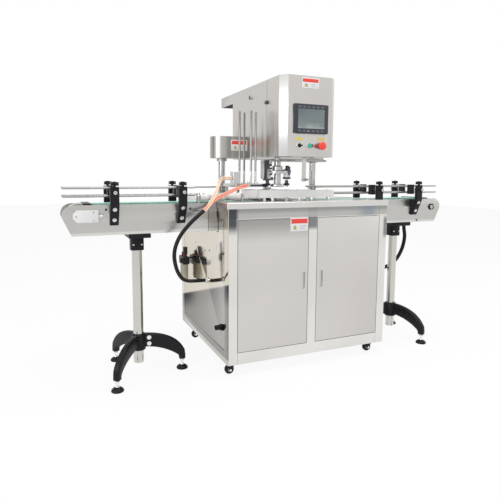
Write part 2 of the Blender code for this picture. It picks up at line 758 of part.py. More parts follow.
def make_caster(number, place, root):
    """A fork that swivels on the caster plate's kingpin, and its wheel."""
    x, y = place
    ring_low = FORK_TOP - FORK_RING_HEIGHT
    axle_x, axle_z = x - CASTER_TRAIL, WHEEL_RADIUS
    half = WHEEL_WIDTH / 2 + RUNNING_GAP * 2
    ring = rod((x, y, ring_low), (x, y, FORK_TOP), FORK_RING_RADIUS, 20)
    leg_top = FORK_TOP - SINK
    leg = [(x + FORK_LEG_AHEAD, leg_top), (x - FORK_LEG_BEHIND, leg_top)]
    leg += arc((axle_x, axle_z), FORK_LEG_END_RADIUS, 170, 340, 6)
    legs = []
    for side in (-1, 1):
        inner = y + side * half
        outer = inner + side * FORK_SHEET
        legs.append(slab(leg, min(inner, outer), max(inner, outer), "Y"))
    reach = half + FORK_SHEET + AXLE_STICK_OUT
    axle = rod((axle_x, y - reach, axle_z), (axle_x, y + reach, axle_z), AXLE_RADIUS, 12)
    fork = joined([ring] + legs + [axle])
    pin_low = FORK_TOP + SEAT_GAP - KINGPIN_LENGTH - RUNNING_GAP
    cut(fork, [rod((x, y, pin_low), (x, y, FORK_TOP + OVER), KINGPIN_RADIUS + RUNNING_GAP)])
    fork_object = finish(f"caster_fork_{number}", fork, BLACK_PLASTIC, root, (x, y, FORK_TOP))
    w, r = WHEEL_WIDTH / 2, WHEEL_RADIUS
    bore = AXLE_RADIUS + RUNNING_GAP
    profile = [(bore, -w), (0.5 * r, -w), (0.75 * r, -0.8 * w), (0.92 * r, -w), (r, -0.6 * w),
               (r, 0.6 * w), (0.92 * r, w), (0.75 * r, 0.8 * w), (0.5 * r, w), (bore, w)]
    wheel = turned(profile, (axle_x, y, axle_z), "Y", 20)
    finish(f"caster_wheel_{number}", wheel, RUBBER, fork_object, (axle_x, y, axle_z))


def conveyor_outline():
    """The side of the conveyor: round top corners and raked ends."""
    radius = CONVEYOR_END_RADIUS
    z = CONVEYOR_TOP - radius
    left, right = CONVEYOR_LEFT, CONVEYOR_RIGHT
    points = [(left + CONVEYOR_END_RAKE, CONVEYOR_BOTTOM),
              (right - CONVEYOR_END_RAKE, CONVEYOR_BOTTOM)]
    points += arc((right - radius, z), radius, -10, 90, 6)
    points += arc((left + radius, z), radius, 90, 190, 6)
    return points


def bracket_shape(x, near):
    """A guide bracket: a foot that flares out from the conveyor, an upright post and a star knob."""
    side = -1 if near else 1
    face = (CONVEYOR_NEAR if near else CONVEYOR_FAR) + side * (SEAT_GAP if near else -SINK / 2)
    outer = face + side * BRACKET_REACH
    inner = outer - side * BRACKET_DEPTH
    shoulder = CONVEYOR_TOP
    bottom = shoulder - BRACKET_DROP
    outline = [(face, bottom), (face + side * BRACKET_FOOT, bottom), (outer, shoulder - BRACKET_LIP),
               (outer, BRACKET_POST_TOP), (inner, BRACKET_POST_TOP), (inner, shoulder),
               (face, shoulder)]
    bracket = slab(outline, x - BRACKET_WIDTH / 2, x + BRACKET_WIDTH / 2, "X")
    y = (inner + outer) / 2
    top = BRACKET_POST_TOP + KNOB_STEM_HEIGHT
    stem = rod((x, y, BRACKET_POST_TOP - SINK), (x, y, top + SINK), KNOB_STEM_RADIUS, 12)
    lobes = []
    steps = KNOB_LOBES * 3
    for k in range(steps):
        angle = 2 * pi * k / steps
        reach = KNOB_RADIUS * (0.86 + 0.14 * cos(KNOB_LOBES * angle))
        lobes.append((x + reach * cos(angle), y + reach * sin(angle)))
    knob = slab(lobes, top, top + KNOB_HEIGHT)
    joined([bracket, stem, knob])
    hole = rod((x, y - BRACKET_DEPTH, CROSS_ROD_Z), (x, y + BRACKET_DEPTH, CROSS_ROD_Z),
               CROSS_ROD_RADIUS + RUNNING_GAP)
    return cut(bracket, [hole])


def side_plate(near):
    """One conveyor side with its bottom flange and, on the near side, the drive bearing ring."""
    face = CONVEYOR_NEAR if near else CONVEYOR_FAR
    inward = 1 if near else -1
    inner = face + inward * CONVEYOR_SHEET
    plate = slab(conveyor_outline(), min(face, inner), max(face, inner), "Y")
    flange_y = face + inward * CONVEYOR_FLANGE
    rake = CONVEYOR_END_RAKE + 0.004
    parts = [box((CONVEYOR_LEFT + rake, min(face, flange_y), CONVEYOR_BOTTOM),
                 (CONVEYOR_RIGHT - rake, max(face, flange_y), CONVEYOR_BOTTOM + CONVEYOR_SHEET))]
    ring_out = face - inward * BEARING_RING_DEPTH
    axes = list(OUTFEED_AXES[1:])
    if not near:
        axes += [INFEED_AXES[0]]
        parts += [bracket_shape(x, False) for x in FAR_BRACKET_X]
    for x in axes:
        parts.append(rod((x, ring_out, CHAIN_Z), (x, inner, CHAIN_Z), BEARING_RING_RADIUS))
    joined([plate] + parts)
    hole = SHAFT_RADIUS + RUNNING_GAP
    tools = [rod((x, ring_out - inward * OVER, CHAIN_Z), (x, inner + inward * OVER, CHAIN_Z), hole)
             for x in INFEED_AXES + OUTFEED_AXES]
    return cut(plate, tools)


def bed_shape():
    """Side rails, cross bars, wear strips, the dead plate of the station and screw blocks."""
    near = CONVEYOR_NEAR + CONVEYOR_SHEET + SEAT_GAP
    far = CONVEYOR_FAR - CONVEYOR_SHEET - SEAT_GAP
    clear = CHAIN_INNER + 0.004
    left, right = INFEED_AXES[0] + clear, OUTFEED_AXES[1] - clear
    shapes = [box((left, near, BED_RAIL_LOW), (right, near + BED_RAIL_WIDTH, BED_RAIL_HIGH)),
              box((left, far - BED_RAIL_WIDTH, BED_RAIL_LOW), (right, far, BED_RAIL_HIGH))]
    strip_top = CHAIN_TOP - CHAIN_THICKNESS - SEAT_GAP
    half = WEAR_STRIP_WIDTH / 2
    for start, end in (INFEED_AXES, OUTFEED_AXES):
        low, high = start + clear, end - clear
        shapes.append(box((low, CONVEYOR_Y - half, BED_RAIL_LOW + BED_BAR_HEIGHT - 0.001),
                          (high, CONVEYOR_Y + half, strip_top)))
        for share in (0.04, 0.36, 0.66, 0.96):
            x = low + (high - low - BED_BAR_WIDTH) * share
            shapes.append(box((x, near + 0.001, BED_RAIL_LOW + 0.001),
                              (x + BED_BAR_WIDTH, far - 0.001, BED_RAIL_LOW + BED_BAR_HEIGHT)))
    low, high = INFEED_END + DEAD_PLATE_GAP, OUTFEED_START - DEAD_PLATE_GAP
    shapes.append(box((low, near + 0.0005, CHAIN_TOP - DEAD_PLATE_THICKNESS - 0.004),
                      (high, far - 0.0005, CHAIN_TOP)))
    width = SCREW_BLOCK_WIDTH / 2
    for x in screw_block_places():
        outline = [(SCREW_Y - width, BED_RAIL_HIGH - 0.006), (SCREW_Y + width, BED_RAIL_HIGH - 0.006)]
        outline += arc((SCREW_Y, SCREW_Z), width, 0, 180, 8)
        shapes.append(slab(outline, x, x + SCREW_BLOCK_THICKNESS, "X"))
    return joined(shapes)


def screw_block_places():
    return (SCREW_LEFT - SCREW_BLOCK_GAP - SCREW_BLOCK_THICKNESS, SCREW_RIGHT + SCREW_BLOCK_GAP)


def make_conveyor(root):
    finish("conveyor_near_plate", side_plate(True), STAINLESS, root)
    finish("conveyor_far_plate", side_plate(False), STAINLESS, root)
    bed = bed_shape()
    x, y = STATION
    hole = rod((x, y, CHAIN_TOP - 0.05), (x, y, CHAIN_TOP + OVER), LIFTER_RADIUS + LIFTER_GAP, 28)
    first, last = screw_block_places()
    bore = rod((first - OVER, SCREW_Y, SCREW_Z),
               (last + SCREW_BLOCK_THICKNESS + OVER, SCREW_Y, SCREW_Z),
               SCREW_JOURNAL_RADIUS + RUNNING_GAP, 16)
    finish("conveyor_bed", cut(bed, [hole, bore]), BRUSHED, root)
    finish("infeed_chain", chain_shape(INFEED_AXES), MINT_PLASTIC, root)
    finish("outfeed_chain", chain_shape(OUTFEED_AXES), MINT_PLASTIC, root)
    for name, x in (("infeed_idler_shaft", INFEED_AXES[0]), ("infeed_drive_shaft", INFEED_AXES[1]),
                    ("outfeed_idler_shaft", OUTFEED_AXES[0]),
                    ("outfeed_drive_shaft", OUTFEED_AXES[1])):
        finish(name, shaft_shape(x), STAINLESS, root, (x, CONVEYOR_Y, CHAIN_Z))
    finish("take_up_bearing", take_up_shape(), WHITE_PLASTIC, root)


def loop_point(axes, distance, radius):
    """A point of the loop round two axes, at a distance along its middle line."""
    start, end = axes
    straight = end - start
    turn = pi * CHAIN_RADIUS
    distance %= 2 * (straight + turn)
    if distance < straight:
        return start + distance, CHAIN_Z + radius
    distance -= straight
    if distance < turn:
        angle = pi / 2 - distance / CHAIN_RADIUS
        return end + radius * cos(angle), CHAIN_Z + radius * sin(angle)
    distance -= turn
    if distance < straight:
        return end - distance, CHAIN_Z - radius
    distance -= straight
    angle = -pi / 2 - distance / CHAIN_RADIUS
    return start + radius * cos(angle), CHAIN_Z + radius * sin(angle)


def chain_shape(axes):
    """A slat chain's loop: flat slats with a gap between each two."""
    start, end = axes
    length = 2 * (end - start) + 2 * pi * CHAIN_RADIUS
    count = ceil(length / SLAT_PITCH)
    pitch = length / count
    outer = []
    for k in range(count):
        outer.append(loop_point(axes, k * pitch, CHAIN_RADIUS - SLAT_GAP_DEPTH))
        outer.append(loop_point(axes, k * pitch + SLAT_GAP / 2, CHAIN_RADIUS))
        outer.append(loop_point(axes, (k + 1) * pitch - SLAT_GAP / 2, CHAIN_RADIUS))
    inner = arc((end, CHAIN_Z), CHAIN_INNER, -90, 90, 10)
    inner += arc((start, CHAIN_Z), CHAIN_INNER, 90, 270, 10)
    low, high = CONVEYOR_Y - CHAIN_WIDTH / 2, CONVEYOR_Y + CHAIN_WIDTH / 2
    return cut(slab(outer, low, high, "Y"), [slab(inner, low - OVER, high + OVER, "Y")])


def shaft_shape(x):
    """A shaft across the conveyor with a toothed sprocket in its middle."""
    reach = CONVEYOR_WIDTH / 2 + SHAFT_STICK_OUT
    shaft = rod((x, CONVEYOR_Y - reach, CHAIN_Z), (x, CONVEYOR_Y + reach, CHAIN_Z), SHAFT_RADIUS)
    tip = CHAIN_INNER - SPROCKET_CLEARANCE
    outline = []
    for k in range(SPROCKET_TEETH):
        for share, radius in ((-0.16, tip), (0.16, tip), (0.3, 0.84 * tip), (0.7, 0.84 * tip)):
            angle = 2 * pi * (k + share) / SPROCKET_TEETH
            outline.append((x + radius * cos(angle), CHAIN_Z + radius * sin(angle)))
    half = SPROCKET_WIDTH / 2
    return joined([shaft, slab(outline, CONVEYOR_Y - half, CONVEYOR_Y + half, "Y")])


def take_up_shape():
    """The housing that holds the infeed idler shaft, and its tension bolt."""
    face = CONVEYOR_NEAR - SEAT_GAP
    x = INFEED_AXES[0]
    low, high = CHAIN_Z - TAKE_UP_HEIGHT / 2, CHAIN_Z + TAKE_UP_HEIGHT / 2
    left = x - TAKE_UP_HEIGHT / 2 * 0.9
    right = left + TAKE_UP_LENGTH
    corner = TAKE_UP_HEIGHT * 0.3
    outline = [(left + corner, low), (right, low), (right, high), (left + corner, high),
               (left, high - corner), (left, low + corner)]
    housing = slab(outline, face - TAKE_UP_DEPTH, face, "Y")
    middle = face - TAKE_UP_DEPTH / 2
    bolt = rod((right - 0.004, middle, CHAIN_Z), (right + TAKE_UP_BOLT_LENGTH, middle, CHAIN_Z),
               TAKE_UP_BOLT_RADIUS, 12)
    nut = rod((right + 0.006, middle, CHAIN_Z), (right + 0.014, middle, CHAIN_Z),
              TAKE_UP_BOLT_RADIUS * 1.8, 6)
    joined([housing, bolt, nut])
    end = CONVEYOR_Y - CONVEYOR_WIDTH / 2 - SHAFT_STICK_OUT - RUNNING_GAP
    return cut(housing, [rod((x, end, CHAIN_Z), (x, face + OVER, CHAIN_Z),
                             SHAFT_RADIUS + RUNNING_GAP)])


def rail_heights():
    lower = CHAIN_TOP + RAIL_ABOVE_CHAIN
    return lower, lower + RAIL_SPACING


def rail_shape(near, start, end, brackets):
    """Two guide rails, and for each bracket the clamp block and cross rod that hold them."""
    side = -1 if near else 1
    y = CONVEYOR_Y + side * RAIL_OFFSET
    shapes = [rod((start, y, z), (end, y, z), RAIL_RADIUS, 10) for z in rail_heights()]
    low, high = rail_heights()
    low, high = low - CLAMP_MARGIN, high + CLAMP_MARGIN
    face = CONVEYOR_NEAR if near else CONVEYOR_FAR
    outer = face + side * (BRACKET_REACH + CROSS_ROD_STICK_OUT)
    clamp = sorted((y - side * CLAMP_INNER, y + side * CLAMP_OUTER))
    for x in brackets:
        shapes.append(box((x - CLAMP_WIDTH / 2, clamp[0], low),
                          (x + CLAMP_WIDTH / 2, clamp[1], high)))
        shapes.append(rod((x, y, CROSS_ROD_Z), (x, outer, CROSS_ROD_Z),
                          CROSS_ROD_RADIUS, 12))
    return joined(shapes)


def make_guides(root):
    for number, x in enumerate(BRACKET_X, 1):
        finish(f"guide_bracket_{number}", bracket_shape(x, True), BLACK_PLASTIC, root)
    left = CONVEYOR_LEFT + RAIL_END_INSET
    right = CONVEYOR_RIGHT - RAIL_END_INSET
    rails = (("infeed_near_rail", True, left, NEAR_INFEED_RAIL_END, BRACKET_X[:2]),
             ("infeed_far_rail", False, left, FAR_INFEED_RAIL_END, FAR_BRACKET_X[:2]),
             ("outfeed_near_rail", True, OUTFEED_RAIL_START, right, BRACKET_X[2:]),
             ("outfeed_far_rail", False, OUTFEED_RAIL_START, right, FAR_BRACKET_X[2:]))
    for name, near, start, end, brackets in rails:
        finish(name, rail_shape(near, start, end, brackets), STAINLESS, root)


def stand_post_shape(x):
    """The plate under the conveyor, the clamp and the pole."""
    y = CONVEYOR_Y
    top = CONVEYOR_BOTTOM - SEAT_GAP
    plate_low = top - STAND_PLATE_HEIGHT
    half = STAND_PLATE_WIDTH / 2
    plate = box((x - half, CONVEYOR_NEAR - 0.003, plate_low),
                (x + half, CONVEYOR_FAR + 0.003, top), 0.002)
    clamp = slab(rounded_rectangle((x - STAND_CLAMP_WIDTH / 2, y - STAND_CLAMP_WIDTH / 2),
                                   (x + STAND_CLAMP_WIDTH / 2, y + STAND_CLAMP_WIDTH / 2), 0.012),
                 STAND_CLAMP_LOW, plate_low + 0.004)
    pole = rod((x, y, POLE_BOTTOM), (x, y, STAND_CLAMP_LOW + 0.01), POLE_RADIUS, 24)
    return joined([plate, clamp, pole])


def leg_shape():
    """One tripod leg along +X from the stand's axis, with its foot."""
    tip = LEG_REACH + LEG_WIDTH / 2
    heel = LEG_REACH - LEG_WIDTH / 2
    upper = bow((HUB_RADIUS * 0.7, HUB_HIGH - 0.006), (tip, HUB_HIGH - 0.045), (tip, LEG_END), 4)
    lower = bow((heel, LEG_END), (heel, LEG_END + 0.075), (HUB_RADIUS * 0.7, HUB_LOW + 0.022), 4)
    half = LEG_WIDTH / 2
    leg = slab(upper + lower, -half, half, "Y")
    pad = turned([(0, 0), (FOOT_RADIUS, 0), (FOOT_RADIUS, 0.006), (0.7 * FOOT_RADIUS, 0.018),
                  (0.35 * FOOT_RADIUS, FOOT_HEIGHT), (0, FOOT_HEIGHT)], (LEG_REACH, 0, 0), "Z", 16)
    stud = rod((LEG_REACH, 0, FOOT_HEIGHT - 0.004), (LEG_REACH, 0, LEG_END + 0.006),
               FOOT_STUD_RADIUS, 12)
    nut = rod((LEG_REACH, 0, LEG_END - 0.012), (LEG_REACH, 0, LEG_END - 0.005),
              FOOT_STUD_RADIUS * 1.7, 6)
    return joined([leg, pad, stud, nut])


def stand_base_shape(x, first_angle):
    hub = turned([(0, HUB_LOW), (HUB_RADIUS, HUB_LOW), (HUB_RADIUS, HUB_HIGH - 0.004),
                  (HUB_RADIUS - 0.004, HUB_HIGH), (0, HUB_HIGH)], (x, CONVEYOR_Y, 0), "Z", 24)
    legs = []
    for k in range(3):
        leg = leg_shape()
        turn = Matrix.Rotation(radians(first_angle + 120 * k), 4, "Z")
        leg.data.transform(Matrix.Translation((x, CONVEYOR_Y, 0)) @ turn)
        legs.append(leg)
    joined([hub] + legs)
    bore = rod((x, CONVEYOR_Y, HUB_LOW - 0.05), (x, CONVEYOR_Y, HUB_HIGH + OVER),
               POLE_RADIUS + RUNNING_GAP, 24)
    return cut(hub, [bore])


def make_stands(root):
    for side, x in (("left", LEFT_STAND_X), ("right", RIGHT_STAND_X)):
        finish(side + "_stand_post", stand_post_shape(x), STAINLESS, root)
        finish(side + "_stand_base", stand_base_shape(x, LEG_ANGLES[side]), BLACK_PLASTIC, root)


def make_columns(root):
    base = TABLE_TOP + SEAT_GAP
    profile = [(0, base), (COLUMN_COLLAR_RADIUS, base), (COLUMN_COLLAR_RADIUS, base + 0.010),
               (COLUMN_BASE_RADIUS, base + 0.012), (COLUMN_BASE_RADIUS, COLUMN_BASE_TOP),
               (COLUMN_COLLAR_RADIUS, COLUMN_BASE_TOP),
               (COLUMN_COLLAR_RADIUS, COLUMN_BASE_TOP + COLUMN_COLLAR_HEIGHT),
               (COLUMN_RADIUS, COLUMN_BASE_TOP + COLUMN_COLLAR_HEIGHT),
               (COLUMN_RADIUS, COLUMN_TOP - 0.002), (COLUMN_RADIUS - 0.002, COLUMN_TOP),
               (0, COLUMN_TOP)]
    for side, x in zip(("left", "right"), COLUMN_X):
        finish(side + "_column", turned(profile, (x, COLUMN_Y, 0), "Z", 24), STAINLESS, root)


def beam_outline(radius):
    """A bar with round ends, centred on the two columns."""
    left, right = COLUMN_X
    return (arc((right, COLUMN_Y), radius, -90, 90, 12) +
            arc((left, COLUMN_Y), radius, 90, 270, 12))


def make_crossbeam(root):
    """The beam that slides on both columns and carries the head."""
    beam = slab(beam_outline(BEAM_RADIUS), BEAM_LOW, BEAM_HIGH)
    half = BEAM_PLATE_DEPTH / 2
    additions = [box((BEAM_PLATE_LEFT, COLUMN_Y - half, HEAD_BOTTOM - BEAM_PLATE_THICKNESS),
                     (BEAM_PLATE_RIGHT, COLUMN_Y + half, HEAD_BOTTOM - SEAT_GAP)),
                 box((BEAM_PLATE_LEFT + 0.01, COLUMN_Y - BEAM_RADIUS + 0.01,
                      HEAD_BOTTOM - BEAM_PLATE_THICKNESS / 2),
                     (BEAM_PLATE_RIGHT - 0.01, COLUMN_Y + BEAM_RADIUS - 0.01, BEAM_LOW + 0.004))]
    sleeve_low = BEAM_LOW - BEAM_SLEEVE_LENGTH
    for x in COLUMN_X:
        additions.append(rod((x, COLUMN_Y, sleeve_low), (x, COLUMN_Y, BEAM_LOW + 0.004),
                             BEAM_SLEEVE_RADIUS, 24))
    joined([beam] + additions)
    bores = [rod((x, COLUMN_Y, sleeve_low - OVER), (x, COLUMN_Y, BEAM_HIGH - BEAM_SHEET),
                 COLUMN_RADIUS + RUNNING_GAP, 24) for x in COLUMN_X]
    return finish("crossbeam", cut(beam, bores), STAINLESS, root)


def head_plan(inset):
    """The head in plan: a rectangle whose two front corners are cut at 45 degrees."""
    left, right = HEAD_LEFT + inset, HEAD_RIGHT - inset
    front, rear = HEAD_FRONT + inset, HEAD_REAR - inset
    corner = HEAD_CHAMFER - inset * (2 - sqrt(2))
    return [(left + corner, front), (right - corner, front), (right, front + corner),
            (right, rear), (left, rear), (left, front + corner)]


def head_shape():
    sheet = HEAD_SHEET
    shell = slab(head_plan(0), HEAD_BOTTOM, HEAD_TOP)
    hood = box((HEAD_LEFT, HEAD_REAR - 0.02, HOOD_LOW), (HEAD_RIGHT, HOOD_REAR, HEAD_TOP))
    joined([shell, hood])
    tools = [slab(head_plan(sheet), HEAD_BOTTOM + sheet, HEAD_TOP - sheet),
             box((HEAD_LEFT + sheet, HEAD_REAR - 0.03, HOOD_LOW + 0.01),
                 (HEAD_RIGHT - sheet, HOOD_REAR - sheet, HEAD_TOP - sheet)),
             box((HEAD_LEFT + sheet, HEAD_REAR, HOOD_LOW - OVER),
                 (HEAD_RIGHT - sheet, HOOD_REAR - sheet, HEAD_TOP - 2 * sheet))]
    return cut(shell, tools)


def button_places():
    return {"selector_switch": SELECTOR_X, "start_button": START_X, "emergency_stop": STOP_X}


def make_head(parent):
    """The housing that rides on the crossbeam, with its collars, sensor bar and openings."""
    head = head_shape()
    additions = []
    for x in button_places().values():
        additions.append(rod((x, HEAD_FRONT - BUTTON_COLLAR_PROUD, BUTTON_Z),
                             (x, HEAD_FRONT + HEAD_SHEET, BUTTON_Z), BUTTON_COLLAR_RADIUS))
    half = SENSOR_BAR_WIDTH / 2
    bar_y = CONVEYOR_Y
    bar_low = HEAD_BOTTOM - SENSOR_BAR_LENGTH
    additions.append(box((SENSOR_BAR_X - half, bar_y, bar_low),
                         (SENSOR_BAR_X + half, bar_y + SENSOR_BAR_THICKNESS,
                          HEAD_BOTTOM + HEAD_SHEET / 2)))
    additions.append(box((SENSOR_BAR_X - half, bar_y - 0.020, HEAD_BOTTOM - 0.004),
                         (SENSOR_BAR_X + half, bar_y + 0.010, HEAD_BOTTOM + HEAD_SHEET / 2)))
    sensor_z = bar_low + 0.012
    additions.append(rod((SENSOR_BAR_X, bar_y - SENSOR_LENGTH * 0.7, sensor_z),
                         (SENSOR_BAR_X, bar_y + SENSOR_LENGTH * 0.3, sensor_z), SENSOR_RADIUS, 16))
    joined([head] + additions)
    through = HEAD_SHEET + OVER
    tools = [rod((x, HEAD_FRONT - BUTTON_COLLAR_PROUD - OVER, BUTTON_Z),
                 (x, HEAD_FRONT + through, BUTTON_Z), BUTTON_RADIUS + RUNNING_GAP)
             for x in button_places().values()]
    wide = SCREEN_WIDTH / 2 - SCREEN_BODY_MARGIN + SEAT_GAP
    tall = SCREEN_HEIGHT / 2 - SCREEN_BODY_MARGIN + SEAT_GAP
    tools.append(box((SCREEN_X - wide, HEAD_FRONT - OVER, SCREEN_Z - tall),
                     (SCREEN_X + wide, HEAD_FRONT + through, SCREEN_Z + tall)))
    tools.append(box((HEAD_LEFT - OVER, SIDE_PANEL_FRONT, HEAD_BOTTOM + SIDE_PANEL_MARGIN),
                     (HEAD_LEFT + through, SIDE_PANEL_REAR, HEAD_TOP - SIDE_PANEL_MARGIN)))
    reach = BEAM_RADIUS + SEAT_GAP
    tools.append(box((HEAD_LEFT - OVER, COLUMN_Y - reach, HEAD_BOTTOM - OVER),
                     (HEAD_RIGHT + OVER, COLUMN_Y + reach, BEAM_HIGH + SEAT_GAP)))
    x, y = STATION
    tools.append(rod((x, y, HEAD_BOTTOM - OVER), (x, y, HEAD_BOTTOM + OVER),
                     SPINDLE_RADIUS + RUNNING_GAP, 28))
    finish("head_housing", cut(head, tools), STAINLESS, parent)
    make_side_panel(parent)
    make_operator_panel(parent)


def make_side_panel(parent):
    """The access panel in the head's left side, with its two latches."""
    gap = SEAT_GAP
    front, rear = SIDE_PANEL_FRONT + gap, SIDE_PANEL_REAR - gap
    low, high = HEAD_BOTTOM + SIDE_PANEL_MARGIN + gap, HEAD_TOP - SIDE_PANEL_MARGIN - gap
    panel = box((HEAD_LEFT, front, low), (HEAD_LEFT + HEAD_SHEET, rear, high))
    latches = []
    for y, z in ((front + 0.016, high - 0.105), (rear - 0.016, high - 0.050)):
        latches.append(rod((HEAD_LEFT - LATCH_PROUD, y, z), (HEAD_LEFT + HEAD_SHEET / 2, y, z),
                           LATCH_RADIUS, 16))
        latches.append(box((HEAD_LEFT - LATCH_PROUD - 0.004, y - 0.002, z - LATCH_RADIUS * 0.8),
                           (HEAD_LEFT - LATCH_PROUD + 0.001, y + 0.002, z + LATCH_RADIUS * 0.8)))
    finish("head_side_panel", joined([panel] + latches), STAINLESS, parent)


def make_operator_panel(parent):
    wide, tall = SCREEN_WIDTH / 2, SCREEN_HEIGHT / 2
    back = HEAD_FRONT - SEAT_GAP
    front = back - SCREEN_PROUD
    bezel = slab(rounded_rectangle((SCREEN_X - wide, SCREEN_Z - tall),
                                   (SCREEN_X + wide, SCREEN_Z + tall), 0.006), front, back, "Y")
    inner_wide, inner_tall = wide - SCREEN_BODY_MARGIN, tall - SCREEN_BODY_MARGIN
    body = box((SCREEN_X - inner_wide, front + 0.002, SCREEN_Z - inner_tall),
               (SCREEN_X + inner_wide, back + SCREEN_BODY_DEPTH, SCREEN_Z + inner_tall))
    joined([bezel, body])
    glass_wide, glass_tall = wide - SCREEN_GLASS_MARGIN_X, tall - SCREEN_GLASS_MARGIN_Z
    cut(bezel, [box((SCREEN_X - glass_wide, front - OVER, SCREEN_Z - glass_tall),
                    (SCREEN_X + glass_wide, front + SCREEN_GLASS_RECESS, SCREEN_Z + glass_tall))])
    finish("touch_screen", bezel, SCREEN, parent)
    inside = HEAD_FRONT + BUTTON_BODY_DEPTH
    tip = HEAD_FRONT - BUTTON_COLLAR_PROUD - BUTTON_PROUD
    knob = turned([(0, tip), (BUTTON_RADIUS * 0.9, tip), (BUTTON_RADIUS, tip + 0.002),
                   (BUTTON_RADIUS, inside), (0, inside)], (SELECTOR_X, 0, BUTTON_Z), "Y", 20)
    grip = box((SELECTOR_X - 0.003, tip - 0.007, BUTTON_Z - BUTTON_RADIUS * 0.95),
               (SELECTOR_X + 0.003, tip + 0.003, BUTTON_Z + BUTTON_RADIUS * 0.95), 0.001)
    finish("selector_switch", joined([knob, grip]), BLACK_PLASTIC, parent,
           (SELECTOR_X, HEAD_FRONT, BUTTON_Z))
    button = turned([(0, tip + 0.003), (BUTTON_RADIUS * 0.8, tip + 0.003),
                     (BUTTON_RADIUS, tip + 0.005), (BUTTON_RADIUS, inside), (0, inside)],
                    (START_X, 0, BUTTON_Z), "Y", 20)
    finish("start_button", button, GREEN, parent, (START_X, HEAD_FRONT, BUTTON_Z))
    front = HEAD_FRONT - STOP_PROUD
    cap_back = front + STOP_CAP_DEPTH
    mushroom = turned([(0, front), (STOP_RADIUS * 0.6, front + 0.0008),
                       (STOP_RADIUS * 0.93, front + 0.004), (STOP_RADIUS, front + 0.009),
                       (STOP_RADIUS * 0.94, cap_back), (BUTTON_RADIUS, cap_back),
                       (BUTTON_RADIUS, inside), (0, inside)], (STOP_X, 0, BUTTON_Z), "Y", 24)
    finish("emergency_stop", mushroom, RED, parent, (STOP_X, HEAD_FRONT, BUTTON_Z))


def roller_places():
    x, y = STATION
    return [(x - ROLLER_OFFSET, y), (x + ROLLER_OFFSET, y)]


def make_seaming_head(parent):
    """The spindle with its turret disc, chuck and lever blocks, and the two rollers."""
    x, y = STATION
    collar_top = TURRET_HIGH + SPINDLE_COLLAR_HEIGHT
    profile = [(0, CHUCK_LOW), (CHUCK_RADIUS - 0.003, CHUCK_LOW), (CHUCK_RADIUS, CHUCK_LOW + 0.003),
               (CHUCK_RADIUS, CHUCK_LOW + 0.009), (CHUCK_RADIUS - 0.004, CHUCK_HIGH),
               (SPINDLE_RADIUS + 0.004, CHUCK_HIGH), (SPINDLE_RADIUS + 0.004, TURRET_LOW),
               (TURRET_RADIUS, TURRET_LOW), (TURRET_RADIUS, TURRET_HIGH - 0.003),
               (TURRET_RADIUS - 0.003, TURRET_HIGH), (SPINDLE_COLLAR_RADIUS, TURRET_HIGH),
               (SPINDLE_COLLAR_RADIUS, collar_top), (SPINDLE_RADIUS, collar_top + SPINDLE_TAPER),
               (SPINDLE_RADIUS, SPINDLE_TOP), (0, SPINDLE_TOP)]
    spindle = turned(profile, (x, y, 0), "Z", 24)
    additions = []
    for roller_x, roller_y in roller_places():
        side = 1 if roller_x > x else -1
        inner, outer = roller_x - side * LEVER_WIDTH / 2, roller_x + side * LEVER_WIDTH / 2
        additions.append(box((min(inner, outer), y - LEVER_DEPTH / 2, ROLLER_TOP + 0.006),
                             (max(inner, outer), y + LEVER_DEPTH / 2, TURRET_HIGH + 0.010), 0.003))
        additions.append(rod((roller_x, roller_y, CHUCK_LOW), (roller_x, roller_y, TURRET_LOW),
                             ROLLER_PIN_RADIUS, 12))
        additions.append(rod((roller_x, roller_y, CHUCK_LOW),
                             (roller_x, roller_y, ROLLER_LOW - RUNNING_GAP), 0.008, 6))
    joined([spindle] + additions)
    head = finish("seaming_head", spindle, BRUSHED, parent, (x, y, HEAD_BOTTOM))
    bore = ROLLER_PIN_RADIUS + RUNNING_GAP
    edge = ROLLER_RADIUS
    for number, (roller_x, roller_y) in enumerate(roller_places(), 1):
        middle = ROLLER_LOW + ROLLER_THICKNESS / 2
        high = ROLLER_LOW + ROLLER_THICKNESS
        profile = [(bore, ROLLER_LOW), (edge - 0.002, ROLLER_LOW), (edge, ROLLER_LOW + 0.002),
                   (edge - 0.002, middle), (edge, high - 0.002), (edge - 0.002, high),
                   (ROLLER_HUB_RADIUS, high), (ROLLER_HUB_RADIUS, ROLLER_TOP), (bore, ROLLER_TOP)]
        roller = turned(profile, (roller_x, roller_y, 0), "Z", 18)
        finish(f"seaming_roller_{number}", roller, STAINLESS, head,
               (roller_x, roller_y, ROLLER_LOW))


def star_outline():
    """A star wheel's plate: a disc with a round pocket for each can."""
    points = []
    x, y = STATION_X, STAR_Y
    share = degrees(atan2(CAN_POCKET_RADIUS, STAR_PITCH_RADIUS))
    step = 360 / STAR_POCKETS
    a = STAR_PITCH_RADIUS
    r, rim = CAN_POCKET_RADIUS, STAR_RADIUS
    inside = (rim * rim - a * a - r * r) / (2 * a * r)
    opening = degrees(atan2(sqrt(1 - inside * inside), inside))
    for k in range(STAR_POCKETS):
        direction = -90 + step * k
        centre = (x + a * cos(radians(direction)), y + a * sin(radians(direction)))
        pocket = arc(centre, r, direction - opening, direction - 360 + opening, 9)
        points += pocket
        last = pocket[-1]
        edge = degrees(atan2(last[1] - y, last[0] - x))
        spread = direction - share
        width = (edge - direction + 180) % 360 - 180
        start, end = direction + width, direction + step - width
        if spread < direction:
            points += arc((x, y), rim, start, end, 4)[1:-1]
    return points


